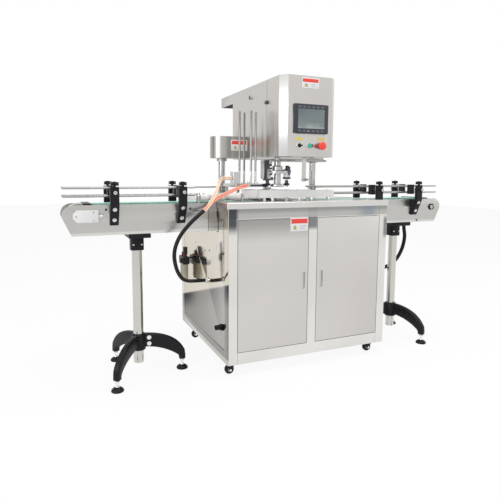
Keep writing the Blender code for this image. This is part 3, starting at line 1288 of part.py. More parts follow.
def make_star_wheel(root):
    x, y = STATION_X, STAR_Y
    outline = star_outline()
    plates = [slab(outline, TABLE_TOP + height, TABLE_TOP + height + STAR_PLATE_THICKNESS)
              for height in (STAR_LOWER_HEIGHT, STAR_UPPER_HEIGHT)]
    hub = turned([(0, STAR_HUB_LOW), (STAR_HUB_RADIUS, STAR_HUB_LOW),
                  (STAR_HUB_RADIUS, STAR_HUB_TOP - 0.003), (STAR_HUB_RADIUS - 0.003, STAR_HUB_TOP),
                  (0, STAR_HUB_TOP)], (x, y, 0))
    shaft = rod((x, y, GEARBOX_TOP - SHAFT_ENGAGEMENT), (x, y, STAR_HUB_LOW + 0.004),
                STAR_SHAFT_RADIUS)
    star = joined([hub, shaft] + plates)
    finish("star_wheel", star, WHITE_PLASTIC, root, (x, y, STAR_HUB_LOW))


def make_drive_motor(root):
    """The geared motor under the table that turns the star wheel, and the lifter's guide arm."""
    x, y = STATION_X, STAR_Y
    half = GEARBOX_WIDTH / 2
    low = GEARBOX_TOP - GEARBOX_HEIGHT
    gearbox = box((x - half, y - half, low), (x + half, y + half, GEARBOX_TOP), 0.006)
    motor = rod((x, y, low - MOTOR_LENGTH), (x, y, low + 0.006), MOTOR_RADIUS, 28)
    hanger_front = y + half - 0.002
    hanger = box((x - half, hanger_front, low),
                 (x + half, hanger_front + HANGER_THICKNESS, TABLE_LOW - SEAT_GAP))
    flange = box((x - half, hanger_front, TABLE_LOW - SEAT_GAP - HANGER_THICKNESS),
                 (x + half, hanger_front + 0.070, TABLE_LOW - SEAT_GAP))
    reach = LIFTER_ARM_WIDTH / 2
    arm_high = LIFTER_ARM_LOW + LIFTER_ARM_HEIGHT
    arm = box((x - reach, CONVEYOR_Y, LIFTER_ARM_LOW), (x + reach, y - half + 0.004, arm_high))
    arm_end = rod((x, CONVEYOR_Y, LIFTER_ARM_LOW), (x, CONVEYOR_Y, arm_high), reach, 24)
    fins = []
    for k in range(MOTOR_FINS):
        angle = 2 * pi * k / MOTOR_FINS
        reach = MOTOR_RADIUS + 0.006
        fin = box((0, -0.0015, low - MOTOR_LENGTH + 0.012), (reach, 0.0015, low - 0.012))
        fin.data.transform(Matrix.Translation((x, y, 0)) @ Matrix.Rotation(angle, 4, "Z"))
        fins.append(fin)
    joined([gearbox, motor, hanger, flange, arm, arm_end] + fins)
    bore = rod((x, y, GEARBOX_TOP - SHAFT_ENGAGEMENT - 2 * RUNNING_GAP),
               (x, y, GEARBOX_TOP + OVER), STAR_SHAFT_RADIUS + RUNNING_GAP)
    guide = rod((x, CONVEYOR_Y, LIFTER_ARM_LOW - OVER), (x, CONVEYOR_Y, arm_high + OVER),
                LIFTER_ROD_RADIUS + RUNNING_GAP)
    finish("drive_motor", cut(gearbox, [bore, guide]), GREY_PAINT, root)


def make_electrical_plate(root):
    """The upright mounting plate inside the cabinet with its control gear."""
    rear = CABINET_DEPTH - FRAME_DEPTH - GEAR_PLATE_FROM_REAR
    floor = CABINET_BOTTOM + FLOOR_SHEET + SEAT_GAP
    right = CABINET_WIDTH - GEAR_PLATE_FROM_RIGHT
    left = right - GEAR_PLATE_WIDTH
    back = rear + GEAR_PLATE_THICKNESS
    shapes = [box((left, rear, floor), (right, back, floor + GEAR_PLATE_HEIGHT)),
              box((left, rear - GEAR_PLATE_FOOT, floor),
                  (right, back, floor + GEAR_PLATE_THICKNESS))]
    height = GEAR_PLATE_HEIGHT
    rows = ((0.80, 0.13, 0.055, 0.060), (0.55, 0.15, 0.075, 0.070), (0.33, 0.10, 0.040, 0.040))
    for share, tall, depth, width in rows:
        low = floor + height * share
        pitch = width + GEAR_SPACING
        count = int((GEAR_PLATE_WIDTH - 2 * GEAR_MARGIN) / pitch)
        for k in range(count):
            x = left + GEAR_MARGIN + k * pitch
            shapes.append(box((x, rear - depth, low), (x + width, rear + 0.001, low + height * tall)))
    finish("electrical_plate", joined(shapes), GREY_PAINT, root)


def make_turret_guide(root):
    """The white guide along the front of the can path, raised on feet."""
    lead = 0.022
    outline = [(GUIDE_LEFT, GUIDE_FRONT), (GUIDE_RIGHT, GUIDE_FRONT),
               (GUIDE_RIGHT, GUIDE_REAR_NARROW), (GUIDE_STEP + 0.010, GUIDE_REAR_NARROW),
               (GUIDE_STEP, GUIDE_REAR_NARROW + 0.010), (GUIDE_STEP, GUIDE_REAR - 0.010),
               (GUIDE_STEP - 0.010, GUIDE_REAR), (GUIDE_LEFT + lead, GUIDE_REAR),
               (GUIDE_LEFT, GUIDE_REAR - lead)]
    shapes = [slab(outline, GUIDE_LOW, GUIDE_HIGH)]
    y = GUIDE_FRONT + 0.016
    for k in range(GUIDE_FEET):
        x = GUIDE_LEFT + 0.030 + (GUIDE_RIGHT - GUIDE_LEFT - 0.060) * k / (GUIDE_FEET - 1)
        shapes.append(rod((x, y, TABLE_TOP + SEAT_GAP), (x, y, GUIDE_LOW + 0.004),
                          GUIDE_FOOT_RADIUS, 16))
    finish("turret_guide", joined(shapes), WHITE_PLASTIC, root)


def make_lid_magazine(root):
    """The plate over the can path, its posts, the four lid rods and the separator block."""
    low, high = MAGAZINE_PLATE_LOW, MAGAZINE_PLATE_HIGH
    plate = slab(rounded_rectangle((MAGAZINE_PLATE_LEFT, MAGAZINE_PLATE_FRONT),
                                   (MAGAZINE_PLATE_RIGHT, MAGAZINE_PLATE_REAR), 0.012), low, high)
    shapes = []
    for x in MAGAZINE_POST_X:
        shapes.append(rod((x, MAGAZINE_POST_Y, TABLE_TOP + SEAT_GAP), (x, MAGAZINE_POST_Y, low + 0.004),
                          MAGAZINE_POST_RADIUS, 16))
    for dx, dy in ((-1, 0), (0, -1), (1, 0), (0, 1)):
        x, y = MAGAZINE_X + dx * LID_ROD_OFFSET, CONVEYOR_Y + dy * LID_ROD_OFFSET
        profile = [(0, high - 0.004), (LID_ROD_RADIUS, high - 0.004),
                   (LID_ROD_RADIUS, LID_ROD_TOP - 0.005), (LID_ROD_RADIUS * 0.7, LID_ROD_TOP - 0.001),
                   (0, LID_ROD_TOP)]
        shapes.append(turned(profile, (x, y, 0), "Z", 12))
    left = MAGAZINE_PLATE_LEFT + 0.002
    front = CONVEYOR_Y - SEPARATOR_DEPTH / 2
    shapes.append(box((left, front, high - 0.004),
                      (left + SEPARATOR_WIDTH, front + SEPARATOR_DEPTH, high + SEPARATOR_HEIGHT),
                      0.002))
    joined([plate] + shapes)
    hole = rod((MAGAZINE_X, CONVEYOR_Y, low - OVER), (MAGAZINE_X, CONVEYOR_Y, high + OVER),
               LID_HOLE_RADIUS, 24)
    finish("lid_magazine", cut(plate, [hole]), ALUMINIUM, root)


def make_infeed_screw(root):
    """The timing screw: a bar with a helical groove that spaces the cans."""
    maker = bmesh.new()
    sides, rings = 14, 30
    length = SCREW_RIGHT - SCREW_LEFT
    loops = []
    for i in range(rings + 1):
        share = i / rings
        loop = []
        for k in range(sides):
            angle = 2 * pi * k / sides
            phase = 2 * pi * SCREW_TURNS * share - angle
            depth = SCREW_GROOVE_DEPTH * max(0.0, cos(phase)) ** 1.5
            if i in (0, rings):
                depth = 0.3 * depth
            radius = SCREW_RADIUS - depth
            loop.append(maker.verts.new((SCREW_LEFT + length * share,
                                         SCREW_Y + radius * cos(angle),
                                         SCREW_Z + radius * sin(angle))))
        loops.append(loop)
    for lower, upper in zip(loops, loops[1:]):
        for k in range(sides):
            maker.faces.new((lower[k], lower[(k + 1) % sides], upper[(k + 1) % sides], upper[k]))
    maker.faces.new(loops[0])
    maker.faces.new(loops[-1])
    body = to_object(maker)
    journal = rod((SCREW_LEFT - SCREW_JOURNAL_LENGTH, SCREW_Y, SCREW_Z),
                  (SCREW_RIGHT + SCREW_JOURNAL_LENGTH, SCREW_Y, SCREW_Z), SCREW_JOURNAL_RADIUS, 16)
    middle = ((SCREW_LEFT + SCREW_RIGHT) / 2, SCREW_Y, SCREW_Z)
    finish("infeed_screw", joined([body, journal]), WHITE_PLASTIC, root, middle)


def make_can_lifter(root):
    x, y = STATION
    top = CHAIN_TOP - 0.0005
    rod_low = top - LIFTER_LENGTH
    profile = [(0, rod_low), (LIFTER_ROD_RADIUS, rod_low),
               (LIFTER_ROD_RADIUS, top - LIFTER_THICKNESS), (LIFTER_RADIUS, top - LIFTER_THICKNESS),
               (LIFTER_RADIUS, top - 0.001), (LIFTER_RADIUS - 0.001, top), (0, top)]
    finish("can_lifter", turned(profile, (x, y, 0), "Z", 28), STAINLESS, root, (x, y, top))


def make_air_unit(root):
    """The filter, regulator and lubricator: two bodies with bowls, a knob and a gauge."""
    x, y = AIR_X, AIR_Y
    half = AIR_BODY_DEPTH / 2
    wall = WALL_LEFT - SEAT_GAP
    plate = AIR_PLATE_WIDTH / 2
    arm = AIR_ARM_WIDTH / 2
    shapes = [box((wall - AIR_PLATE_THICKNESS, y - plate, AIR_BODY_LOW - AIR_BODY_EDGE),
                  (wall, y + plate, AIR_BODY_HIGH + AIR_BODY_EDGE)),
              box((x, y - arm, AIR_ARM_LOW), (wall - SEAT_GAP, y + arm, AIR_ARM_LOW + AIR_ARM_HEIGHT))]
    sunk = AIR_BODY_HIGH - AIR_BODY_EDGE
    width = AIR_BODY_WIDTH / 2
    r = AIR_BOWL_RADIUS
    rim = AIR_BODY_LOW + AIR_BODY_EDGE
    for side in (-0.5, 0.5):
        centre = y + side * AIR_PITCH
        shapes.append(box((x - half, centre - width, AIR_BODY_LOW), (x + half, centre + width, AIR_BODY_HIGH),
                          AIR_BODY_EDGE))
        bowl = [(0, AIR_BOWL_LOW), (0.5 * r, AIR_BOWL_LOW + 0.1 * r), (0.9 * r, AIR_BOWL_LOW + 0.7 * r),
                (r, AIR_BOWL_LOW + 1.4 * r), (r, rim), (0, rim)]
        shapes.append(turned(bowl, (x, centre, 0), "Z", 20))
    knob_y = y - 0.5 * AIR_PITCH
    neck = 0.8 * AIR_KNOB_RADIUS
    neck_top = AIR_BODY_HIGH + AIR_KNOB_NECK
    shapes.append(turned([(0, sunk), (neck, sunk), (neck, neck_top), (AIR_KNOB_RADIUS, neck_top + SINK),
                          (AIR_KNOB_RADIUS, AIR_KNOB_TOP - SINK), (AIR_KNOB_RADIUS - SINK, AIR_KNOB_TOP),
                          (0, AIR_KNOB_TOP)], (x, knob_y, 0), "Z", 20))
    port_y = y + 0.5 * AIR_PITCH
    shapes.append(rod((x, port_y, sunk), (x, port_y, AIR_BODY_HIGH + AIR_PORT_HEIGHT), AIR_PORT_RADIUS, 16))
    gauge_z = (AIR_BODY_LOW + AIR_BODY_HIGH) / 2
    front = x - half
    shapes.append(rod((front - AIR_GAUGE_DEPTH, knob_y, gauge_z), (front + AIR_BODY_EDGE, knob_y, gauge_z),
                      AIR_GAUGE_RADIUS, 20))
    finish("air_unit", joined(shapes), BLACK_PLASTIC, root)


def make_power_inlet(root):
    wall = WALL_LEFT - SEAT_GAP
    profile = [(0, wall - INLET_LENGTH + 0.012), (INLET_RADIUS * 0.75, wall - INLET_LENGTH + 0.012),
               (INLET_RADIUS * 0.75, wall - INLET_LENGTH), (INLET_RADIUS, wall - INLET_LENGTH),
               (INLET_RADIUS, wall - 0.005), (INLET_FLANGE_RADIUS, wall - 0.005),
               (INLET_FLANGE_RADIUS, wall), (0, wall)]
    inlet = turned(profile, (0, INLET_Y, INLET_Z), "X", 24)
    finish("power_inlet", inlet, BLACK_PLASTIC, root)


def smooth_route(points, spacing):
    """Points at about equal spacing on a smooth curve through hand chosen route points."""
    route = [Vector(p) for p in points]
    padded = [2 * route[0] - route[1]] + route + [2 * route[-1] - route[-2]]
    fine = []
    for a, b, c, d in zip(padded, padded[1:], padded[2:], padded[3:]):
        for step in range(12):
            t = step / 12
            fine.append(0.5 * ((2 * b) + (c - a) * t + (2 * a - 5 * b + 4 * c - d) * t ** 2 +
                               (3 * b - a - 3 * c + d) * t ** 3))
    fine.append(route[-1])
    lengths = [0.0]
    for a, b in zip(fine, fine[1:]):
        lengths.append(lengths[-1] + (b - a).length)
    count = max(2, round(lengths[-1] / spacing))
    result = []
    index = 0
    for k in range(count + 1):
        target = lengths[-1] * k / count
        while index < len(lengths) - 2 and lengths[index + 1] < target:
            index += 1
        gap = lengths[index + 1] - lengths[index]
        result.append(fine[index].lerp(fine[index + 1], (target - lengths[index]) / gap))
    return result


def tube(points, radius):
    """A hose as a bevelled poly curve."""
    curve = bpy.data.curves.new("tube", "CURVE")
    curve.dimensions = "3D"
    curve.bevel_depth = radius
    curve.bevel_resolution = 2
    curve.use_fill_caps = True
    spline = curve.splines.new("POLY")
    spline.points.add(len(points) - 1)
    for target, point in zip(spline.points, points):
        target.co = (*point, 1.0)
    thing = bpy.data.objects.new("tube", curve)
    bpy.context.collection.objects.link(thing)
    return thing


def hang_tube(name, thing, look, root):
    thing.name = name
    thing.data.materials.append(material_for(name, look))
    thing.parent = root


def left_hose_points():
    y, z = LEFT_GLAND
    wall = WALL_LEFT - GLAND_PROUD - SEAT_GAP
    return [(-0.098, 0.095, 0.868), (-0.139, 0.078, 0.840), (-0.185, 0.064, 0.803),
            (-0.232, 0.053, 0.752), (-0.257, 0.052, 0.700), (-0.262, 0.062, 0.650),
            (-0.249, 0.086, 0.596), (-0.223, 0.125, 0.545), (-0.184, 0.180, 0.502),
            (-0.132, 0.250, 0.474), (-0.095, 0.300, z + 0.010), (wall - 0.052, y - 0.009, z + 0.003),
            (wall - 0.025, y, z), (wall, y, z)]


def right_hose_points():
    y, z = RIGHT_GLAND
    wall = WALL_RIGHT + GLAND_PROUD + SEAT_GAP
    top = CONVEYOR_BOTTOM - SEAT_GAP
    far = CONVEYOR_FAR - CONVEYOR_FLANGE / 2
    return [(1.418, far, top), (1.418, far, top - 0.028), (1.421, far, top - 0.060),
            (1.430, far, 0.630), (1.410, far, 0.550), (1.362, far, 0.480), (1.290, far, 0.440),
            (1.205, 0.330, 0.425), (1.120, 0.322, 0.428), (wall + 0.060, y, z - 0.003),
            (wall + 0.030, y, z), (wall, y, z)]


def tube_fork():
    """Where the thick end piece of the air tubes starts and ends, out of the hose's mouth."""
    first = left_hose_points()
    lead = (Vector(first[0]) - Vector(first[1])).normalized()
    start = Vector(first[0]) + lead * 2 * SEAT_GAP
    return start, start + lead * TUBE_FORK_LENGTH


def air_tube_routes():
    start, fork = tube_fork()
    inside = fork.lerp(start, 0.25)
    left = MAGAZINE_PLATE_LEFT + 0.002 - 2 * SEAT_GAP
    block = (left, CONVEYOR_Y - 0.010, MAGAZINE_PLATE_HIGH + 0.030)
    to_block = [(left - 0.050, block[1], block[2]), (left - 0.025, block[1], block[2]), block]
    plate = (0.165, MAGAZINE_PLATE_FRONT - 2 * SEAT_GAP, MAGAZINE_PLATE_LOW + 0.009)
    to_plate = [(plate[0], plate[1] - 0.045, plate[2]), (plate[0], plate[1] - 0.022, plate[2]),
                plate]
    return ([inside, fork, (-0.030, 0.125, 0.938), (0.000, 0.156, 0.984),
             (0.032, 0.205, 1.020)] + to_block,
            [inside - Vector((0, 0, 0.001)), fork - Vector((0, 0, 0.001)), (-0.022, 0.120, 0.925),
             (0.040, 0.110, 0.958), (0.105, 0.108, 0.985), (0.150, 0.122, 0.994)] + to_plate)


def make_hoses(root):
    left = smooth_route(left_hose_points(), LEFT_HOSE_RADIUS * 2.5)
    hang_tube("left_hose", tube(left, LEFT_HOSE_RADIUS), BLACK_PLASTIC, root)
    right = smooth_route(right_hose_points(), RIGHT_HOSE_RADIUS * 2.5)
    hang_tube("right_hose", tube(right, RIGHT_HOSE_RADIUS), BLACK_PLASTIC, root)
    start, fork = tube_fork()
    shapes = [rod(start, fork, TUBE_FORK_RADIUS, 12)]
    for route in air_tube_routes():
        line = tube(smooth_route(route, AIR_TUBE_RADIUS * 4), AIR_TUBE_RADIUS)
        bake_curve = bpy.data.meshes.new_from_object(line)
        shapes.append(bpy.data.objects.new("shape", bake_curve))
        bpy.context.collection.objects.link(shapes[-1])
        bpy.data.objects.remove(line, do_unlink=True)
    finish("air_tubes", joined(shapes), SALMON, root)


def main():
    clear_scene()
    root = bpy.data.objects.new("machine_centre", None)
    bpy.context.collection.objects.link(root)
    root.location = (-FOOTPRINT_MIDDLE[0], -FOOTPRINT_MIDDLE[1], 0)
    make_cabinet(root)
    make_table(root)
    for number, place in enumerate(caster_places(), 1):
        make_caster(number, place, root)
    make_conveyor(root)
    make_guides(root)
    make_stands(root)
    make_columns(root)
    beam = make_crossbeam(root)
    make_head(beam)
    make_seaming_head(beam)
    make_star_wheel(root)
    make_drive_motor(root)
    make_electrical_plate(root)
    make_turret_guide(root)
    make_lid_magazine(root)
    make_infeed_screw(root)
    make_can_lifter(root)
    make_air_unit(root)
    make_power_inlet(root)
    make_hoses(root)


main()
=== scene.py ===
"""A can seaming machine dressed for a photograph: brushed and polished stainless steel, black
clamps, stands and casters, a white conveyor guide and a small operator panel."""

from math import atan2, copysign, cos, pi, radians, sin

import bmesh
import bpy
from mathutils import Matrix, Vector


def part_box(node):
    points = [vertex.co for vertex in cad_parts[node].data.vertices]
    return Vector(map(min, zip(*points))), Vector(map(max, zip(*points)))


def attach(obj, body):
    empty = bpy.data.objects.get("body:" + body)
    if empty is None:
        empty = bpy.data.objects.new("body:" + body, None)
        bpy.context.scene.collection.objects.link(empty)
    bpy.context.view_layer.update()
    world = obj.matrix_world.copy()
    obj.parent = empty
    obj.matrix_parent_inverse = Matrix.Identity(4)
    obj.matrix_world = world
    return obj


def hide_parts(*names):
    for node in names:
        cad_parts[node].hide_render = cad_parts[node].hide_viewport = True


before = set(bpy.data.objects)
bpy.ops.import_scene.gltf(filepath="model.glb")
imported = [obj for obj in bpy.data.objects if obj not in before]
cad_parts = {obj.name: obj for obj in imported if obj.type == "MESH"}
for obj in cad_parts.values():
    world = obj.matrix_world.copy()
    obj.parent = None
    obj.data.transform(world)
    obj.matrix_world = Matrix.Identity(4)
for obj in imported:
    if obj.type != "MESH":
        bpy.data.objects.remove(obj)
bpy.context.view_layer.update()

bl_info = {
    "name": "Can seaming machine",
    "version": (1, 0, 0),
    "blender": (4, 5, 0),
    "location": "3D View > Sidebar > Seamer",
    "description": "Dresses the frame of a can seaming machine and lights it for a photograph",
    "category": "Object",
}

TABLE_OVERHANG = 0.006
TABLE_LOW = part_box("table_front")[0]
ORIGIN = Vector((TABLE_LOW[0] + TABLE_OVERHANG, TABLE_LOW[1] + TABLE_OVERHANG, 0))


def at(x, y, z):
    """A point given from the cabinet's front left corner on the floor, in the row frame."""
    return ORIGIN + Vector((x, y, z))


# The machine's own measures, from the cabinet's front left corner on the floor
CHAIN_Y = 0.250
PLATE_NEAR = 0.155
PLATE_FAR = 0.345
PLATE_TOP = 0.905
CHAIN_TOP = 0.910
STATION = (0.400, 0.250)
HEAD_LEFT, HEAD_FRONT = 0.306, 0.020
HEAD_BOTTOM = 1.1503
BUTTON_Z = HEAD_BOTTOM + 0.058
BEAM_Y = 0.530
BEAM_RADIUS = 0.071
NEAR_BRACKETS = (-0.537, -0.202, 1.019, 1.324)
FAR_BRACKETS = (-0.534, -0.184, 1.060, 1.376)
BRACKET_REACH = 0.055
CROSS_ROD_Z = CHAIN_TOP + 0.055
CROSS_ROD_STICK_OUT = 0.024
KNOB_TOP_Z = 1.0145
SELECTOR_X, START_X, STOP_X = 0.409, 0.470, 0.541
SCREEN_WIDTH = 0.210
MAGAZINE = (0.213, 0.289)
MAGAZINE_TOP = 1.0033
LID_ROD_OFFSET = 0.0487
AIR_TUBE_SPREAD = 0.0050
STANDS = (("left", -0.412, -7.0), ("right", 1.255, 166.0))
STAND_CLAMP_LOW = 0.664
HUB_RADIUS, HUB_LOW, HUB_HIGH = 0.0375, 0.129, 0.217
LEG_REACH, LEG_WIDTH, LEG_END = 0.231, 0.034, 0.058

# Degrees between faces: a bevel rounds what is sharper, and shading smooths what is flatter
SHARP_EDGE = 40
SMOOTH_ANGLE = 35


# Modelling by hand, in small steps


def start_fresh():
    """Leave edit mode and deselect everything."""
    if bpy.context.object and bpy.context.object.mode != "OBJECT":
        bpy.ops.object.mode_set(mode="OBJECT")
    bpy.ops.object.select_all(action="DESELECT")


def edit(piece):
    """Open one piece in edit mode with its whole mesh selected."""
    start_fresh()
    piece.select_set(True)
    bpy.context.view_layer.objects.active = piece
    bpy.ops.object.mode_set(mode="EDIT")
    bpy.ops.mesh.select_all(action="SELECT")


def leave_edit():
    """Go back to object mode."""
    bpy.ops.object.mode_set(mode="OBJECT")


def settle(name):
    """Take the new primitive's place and turn into its mesh, and name it."""
    piece = bpy.context.object
    piece.name = name
    bpy.ops.object.transform_apply(location=True, rotation=True, scale=True)
    return piece


def soften(piece, width, segments=2):
    """Round the piece's sharp edges with an applied bevel."""
    bevel = piece.modifiers.new("soften", "BEVEL")
    bevel.width = width
    bevel.segments = segments
    bevel.limit_method = "ANGLE"
    bevel.angle_limit = radians(SHARP_EDGE)
    start_fresh()
    piece.select_set(True)
    bpy.context.view_layer.objects.active = piece
    bpy.ops.object.modifier_apply(modifier=bevel.name)
    return piece


def block(name, low, high, rounding=0.0, segments=2):
    """A box between two corners with its edges rounded."""
    start_fresh()
    low, high = Vector(low), Vector(high)
    bpy.ops.mesh.primitive_cube_add(size=1, location=(low + high) / 2, scale=high - low)
    piece = settle(name)
    return soften(piece, rounding, segments) if rounding else piece


def bar(name, start, end, radius, sides=32, rounding=0.0):
    """A round bar between two points, with its rims rounded."""
    start_fresh()
    start, end = Vector(start), Vector(end)
    turn = Vector((0, 0, 1)).rotation_difference(end - start).to_euler()
    bpy.ops.mesh.primitive_cylinder_add(vertices=sides, radius=radius, depth=(end - start).length,
                                        location=(start + end) / 2, rotation=turn)
    piece = settle(name)
    return soften(piece, rounding) if rounding else piece


def spun(name, profile, place, axis="Z", steps=48):
    """A turned piece: its profile of (radius, height) points is spun about the axis."""
    start_fresh()
    mesh = bpy.data.meshes.new(name)
    count = len(profile)
    mesh.from_pydata([(r, 0, h) for r, h in profile], [(k, k + 1) for k in range(count - 1)], [])
    piece = bpy.data.objects.new(name, mesh)
    bpy.context.collection.objects.link(piece)
    edit(piece)
    bpy.ops.mesh.spin(steps=steps, angle=2 * pi, center=(0, 0, 0), axis=(0, 0, 1))
    bpy.ops.mesh.select_all(action="SELECT")
    bpy.ops.mesh.remove_doubles(threshold=1e-6)
    bpy.ops.mesh.normals_make_consistent(inside=False)
    leave_edit()
    turn = {"X": Matrix.Rotation(pi / 2, 4, "Y"), "Y": Matrix.Rotation(-pi / 2, 4, "X"),
            "Z": Matrix.Identity(4)}[axis]
    piece.data.transform(Matrix.Translation(Vector(place)) @ turn)
    return piece


def merge(name, pieces):
    """Join several pieces into one object."""
    start_fresh()
    for piece in pieces:
        piece.select_set(True)
    bpy.context.view_layer.objects.active = pieces[0]
    if len(pieces) > 1:
        bpy.ops.object.join()
    pieces[0].name = name
    return pieces[0]


def turned(piece, name, turn, about):
    """A copy of a piece with its own mesh, turned about an upright axis."""
    twin = piece.copy()
    twin.data = piece.data.copy()
    twin.name = name
    bpy.context.collection.objects.link(twin)
    twin.data.transform(Matrix.Translation(about) @ Matrix.Rotation(turn, 4, "Z")
                        @ Matrix.Translation(-about))
    return twin


def flexible(name, points, radius, rings=6):
    """A round hose or tube on a smooth curve through its route points."""
    curve = bpy.data.curves.new(name, "CURVE")
    curve.dimensions = "3D"
    curve.bevel_depth = radius
    curve.bevel_resolution = rings
    curve.use_fill_caps = True
    spline = curve.splines.new("POLY")
    spline.points.add(len(points) - 1)
    for target, point in zip(spline.points, points):
        target.co = (*point, 1.0)
    piece = bpy.data.objects.new(name, curve)
    bpy.context.collection.objects.link(piece)
    return piece


def as_mesh(piece):
    """Turn a curve into a mesh."""
    start_fresh()
    piece.select_set(True)
    bpy.context.view_layer.objects.active = piece
    bpy.ops.object.convert(target="MESH")
    return bpy.context.object


def smooth_route(points, spacing):
    """Points at about equal spacing on a smooth curve through given route points."""
    route = [Vector(p) for p in points]
    padded = [2 * route[0] - route[1]] + route + [2 * route[-1] - route[-2]]
    fine = []
    for a, b, c, d in zip(padded, padded[1:], padded[2:], padded[3:]):
        for step in range(12):
            t = step / 12
            fine.append(0.5 * ((2 * b) + (c - a) * t + (2 * a - 5 * b + 4 * c - d) * t ** 2 +
                               (3 * b - a - 3 * c + d) * t ** 3))
    fine.append(route[-1])
    lengths = [0.0]
    for a, b in zip(fine, fine[1:]):
        lengths.append(lengths[-1] + (b - a).length)
    count = max(2, round(lengths[-1] / spacing))
    result, index = [], 0
    for k in range(count + 1):
        target = lengths[-1] * k / count
        while index < len(lengths) - 2 and lengths[index + 1] < target:
            index += 1
        gap = lengths[index + 1] - lengths[index]
        result.append(fine[index].lerp(fine[index + 1], (target - lengths[index]) / gap))
    return result


def present(piece, material, body, replaces=()):
    """Give a finished piece its shading, its material and the body that it rides on."""
    start_fresh()
    piece.select_set(True)
    bpy.context.view_layer.objects.active = piece
    bpy.ops.object.shade_smooth_by_angle(angle=radians(SMOOTH_ANGLE))
    piece.data.materials.clear()
    piece.data.materials.append(MATERIALS[material])
    if replaces:
        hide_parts(*replaces)
    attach(piece, body)
    return piece


def polish_node(name, material, edge=0.0):
    """Give a CAD node its material, merge its loose triangles and round its edges a little."""
    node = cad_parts[name]
    node.data.materials.clear()
    node.data.materials.append(MATERIALS[material])
    weld = node.modifiers.new("weld", "WELD")
    weld.merge_threshold = 1e-5
    if edge:
        bevel = node.modifiers.new("edge", "BEVEL")
        bevel.width = edge
        bevel.segments = 2
        bevel.limit_method = "ANGLE"
        bevel.angle_limit = radians(50)
    split = node.modifiers.new("split", "EDGE_SPLIT")
    split.split_angle = radians(32)
    node.data.shade_smooth()
    return node


# Materials


class Shade:
    """A socket or a number of a material, so that shader maths can be written as expressions."""

    def __init__(self, book, socket):
        self.book = book
        self.socket = socket

    def __add__(self, other):
        return self.book.math("ADD", self, other)

    def __radd__(self, other):
        return self.book.math("ADD", other, self)

    def __sub__(self, other):
        return self.book.math("SUBTRACT", self, other)

    def __rsub__(self, other):
        return self.book.math("SUBTRACT", other, self)

    def __mul__(self, other):
        return self.book.math("MULTIPLY", self, other)

    def __rmul__(self, other):
        return self.book.math("MULTIPLY", other, self)


class Book:
    """The nodes of one material."""

    def __init__(self, name, colour, roughness, metallic=0.0, **fixed):
        self.material = bpy.data.materials.new(name)
        self.material.use_nodes = True
        self.material.diffuse_color = (*colour, 1)
        self.nodes = self.material.node_tree.nodes
        self.links = self.material.node_tree.links
        self.shader = self.nodes["Principled BSDF"]
        self.set("Base Color", (*colour, 1.0))
        self.set("Roughness", roughness)
        self.set("Metallic", metallic)
        for socket, value in fixed.items():
            self.set(socket.replace("_", " "), value)

    def set(self, socket, value):
        """Give a socket of the shader a value or a link."""
        target = self.shader.inputs[socket]
        if isinstance(value, Shade):
            self.links.new(value.socket, target)
        else:
            target.default_value = value

    def node(self, kind, settings=None, output=0, **inputs):
        """Add a node, its settings first, and give back one of its outputs."""
        node = self.nodes.new(kind)
        for key, value in (settings or {}).items():
            setattr(node, key, value)
        for key, value in inputs.items():
            target = node.inputs[int(key[1:]) if key[1:].isdigit() else key.replace("_", " ")]
            if isinstance(value, Shade):
                self.links.new(value.socket, target)
            else:
                target.default_value = value
        return Shade(self, node.outputs[output])

    def math(self, operation, first, second):
        """One operation on two sockets or numbers."""
        return self.node("ShaderNodeMath", {"operation": operation}, i0=first, i1=second)

    def place(self):
        """The piece's own coordinates, measured from the cabinet's front left corner."""
        coordinates = self.node("ShaderNodeTexCoord", output=3)
        return self.node("ShaderNodeMapping", {"vector_type": "POINT"}, i0=coordinates,
                         i1=-ORIGIN)

    def axes(self):
        """The three coordinates, measured from the cabinet's front left corner."""
        split = self.node("ShaderNodeSeparateXYZ", i0=self.place()).socket.node
        return [Shade(self, split.outputs[k]) for k in range(3)]

    def noise(self, scale, stretch=(1, 1, 1), detail=3.0, roughness=0.5):
        """Noise that is stretched along the axes."""
        spread = self.node("ShaderNodeMapping", {"vector_type": "POINT"}, i0=self.place(),
                           i3=stretch)
        return self.node("ShaderNodeTexNoise", {"noise_dimensions": "3D"}, Vector=spread,
                         Scale=scale, Detail=detail, Roughness=roughness)

    def ramp(self, value, low, high, bottom=0.0, top=1.0):
        """A value carried smoothly from bottom to top as it goes from low to high."""
        return self.node("ShaderNodeMapRange", {"interpolation_type": "SMOOTHSTEP"}, i0=value,
                         i1=low, i2=high, i3=bottom, i4=top)

    def blend(self, factor, first, second):
        """Two colours mixed by a factor."""
        return self.node("ShaderNodeMix", {"data_type": "RGBA"}, output=2, i0=factor, i6=first,
                         i7=second)

    def over(self, value, edge, blur=0.0005):
        """One where a value is above an edge and zero below it."""
        return self.ramp(value, edge - blur, edge + blur)

    def within(self, value, low, high, blur=0.0005):
        """One where a value lies between two edges."""
        return self.over(value, low, blur) * self.ramp(value, high - blur, high + blur, 1.0, 0.0)

    def bump(self, height, strength, distance=0.001):
        """Let a height feed the shader's normal."""
        self.set("Normal", self.node("ShaderNodeBump", Strength=strength, Distance=distance,
                                     Height=height))


def tinted(colour, share):
    """A colour made lighter or darker by a share."""
    return (colour[0] * share, colour[1] * share, colour[2] * share, 1.0)


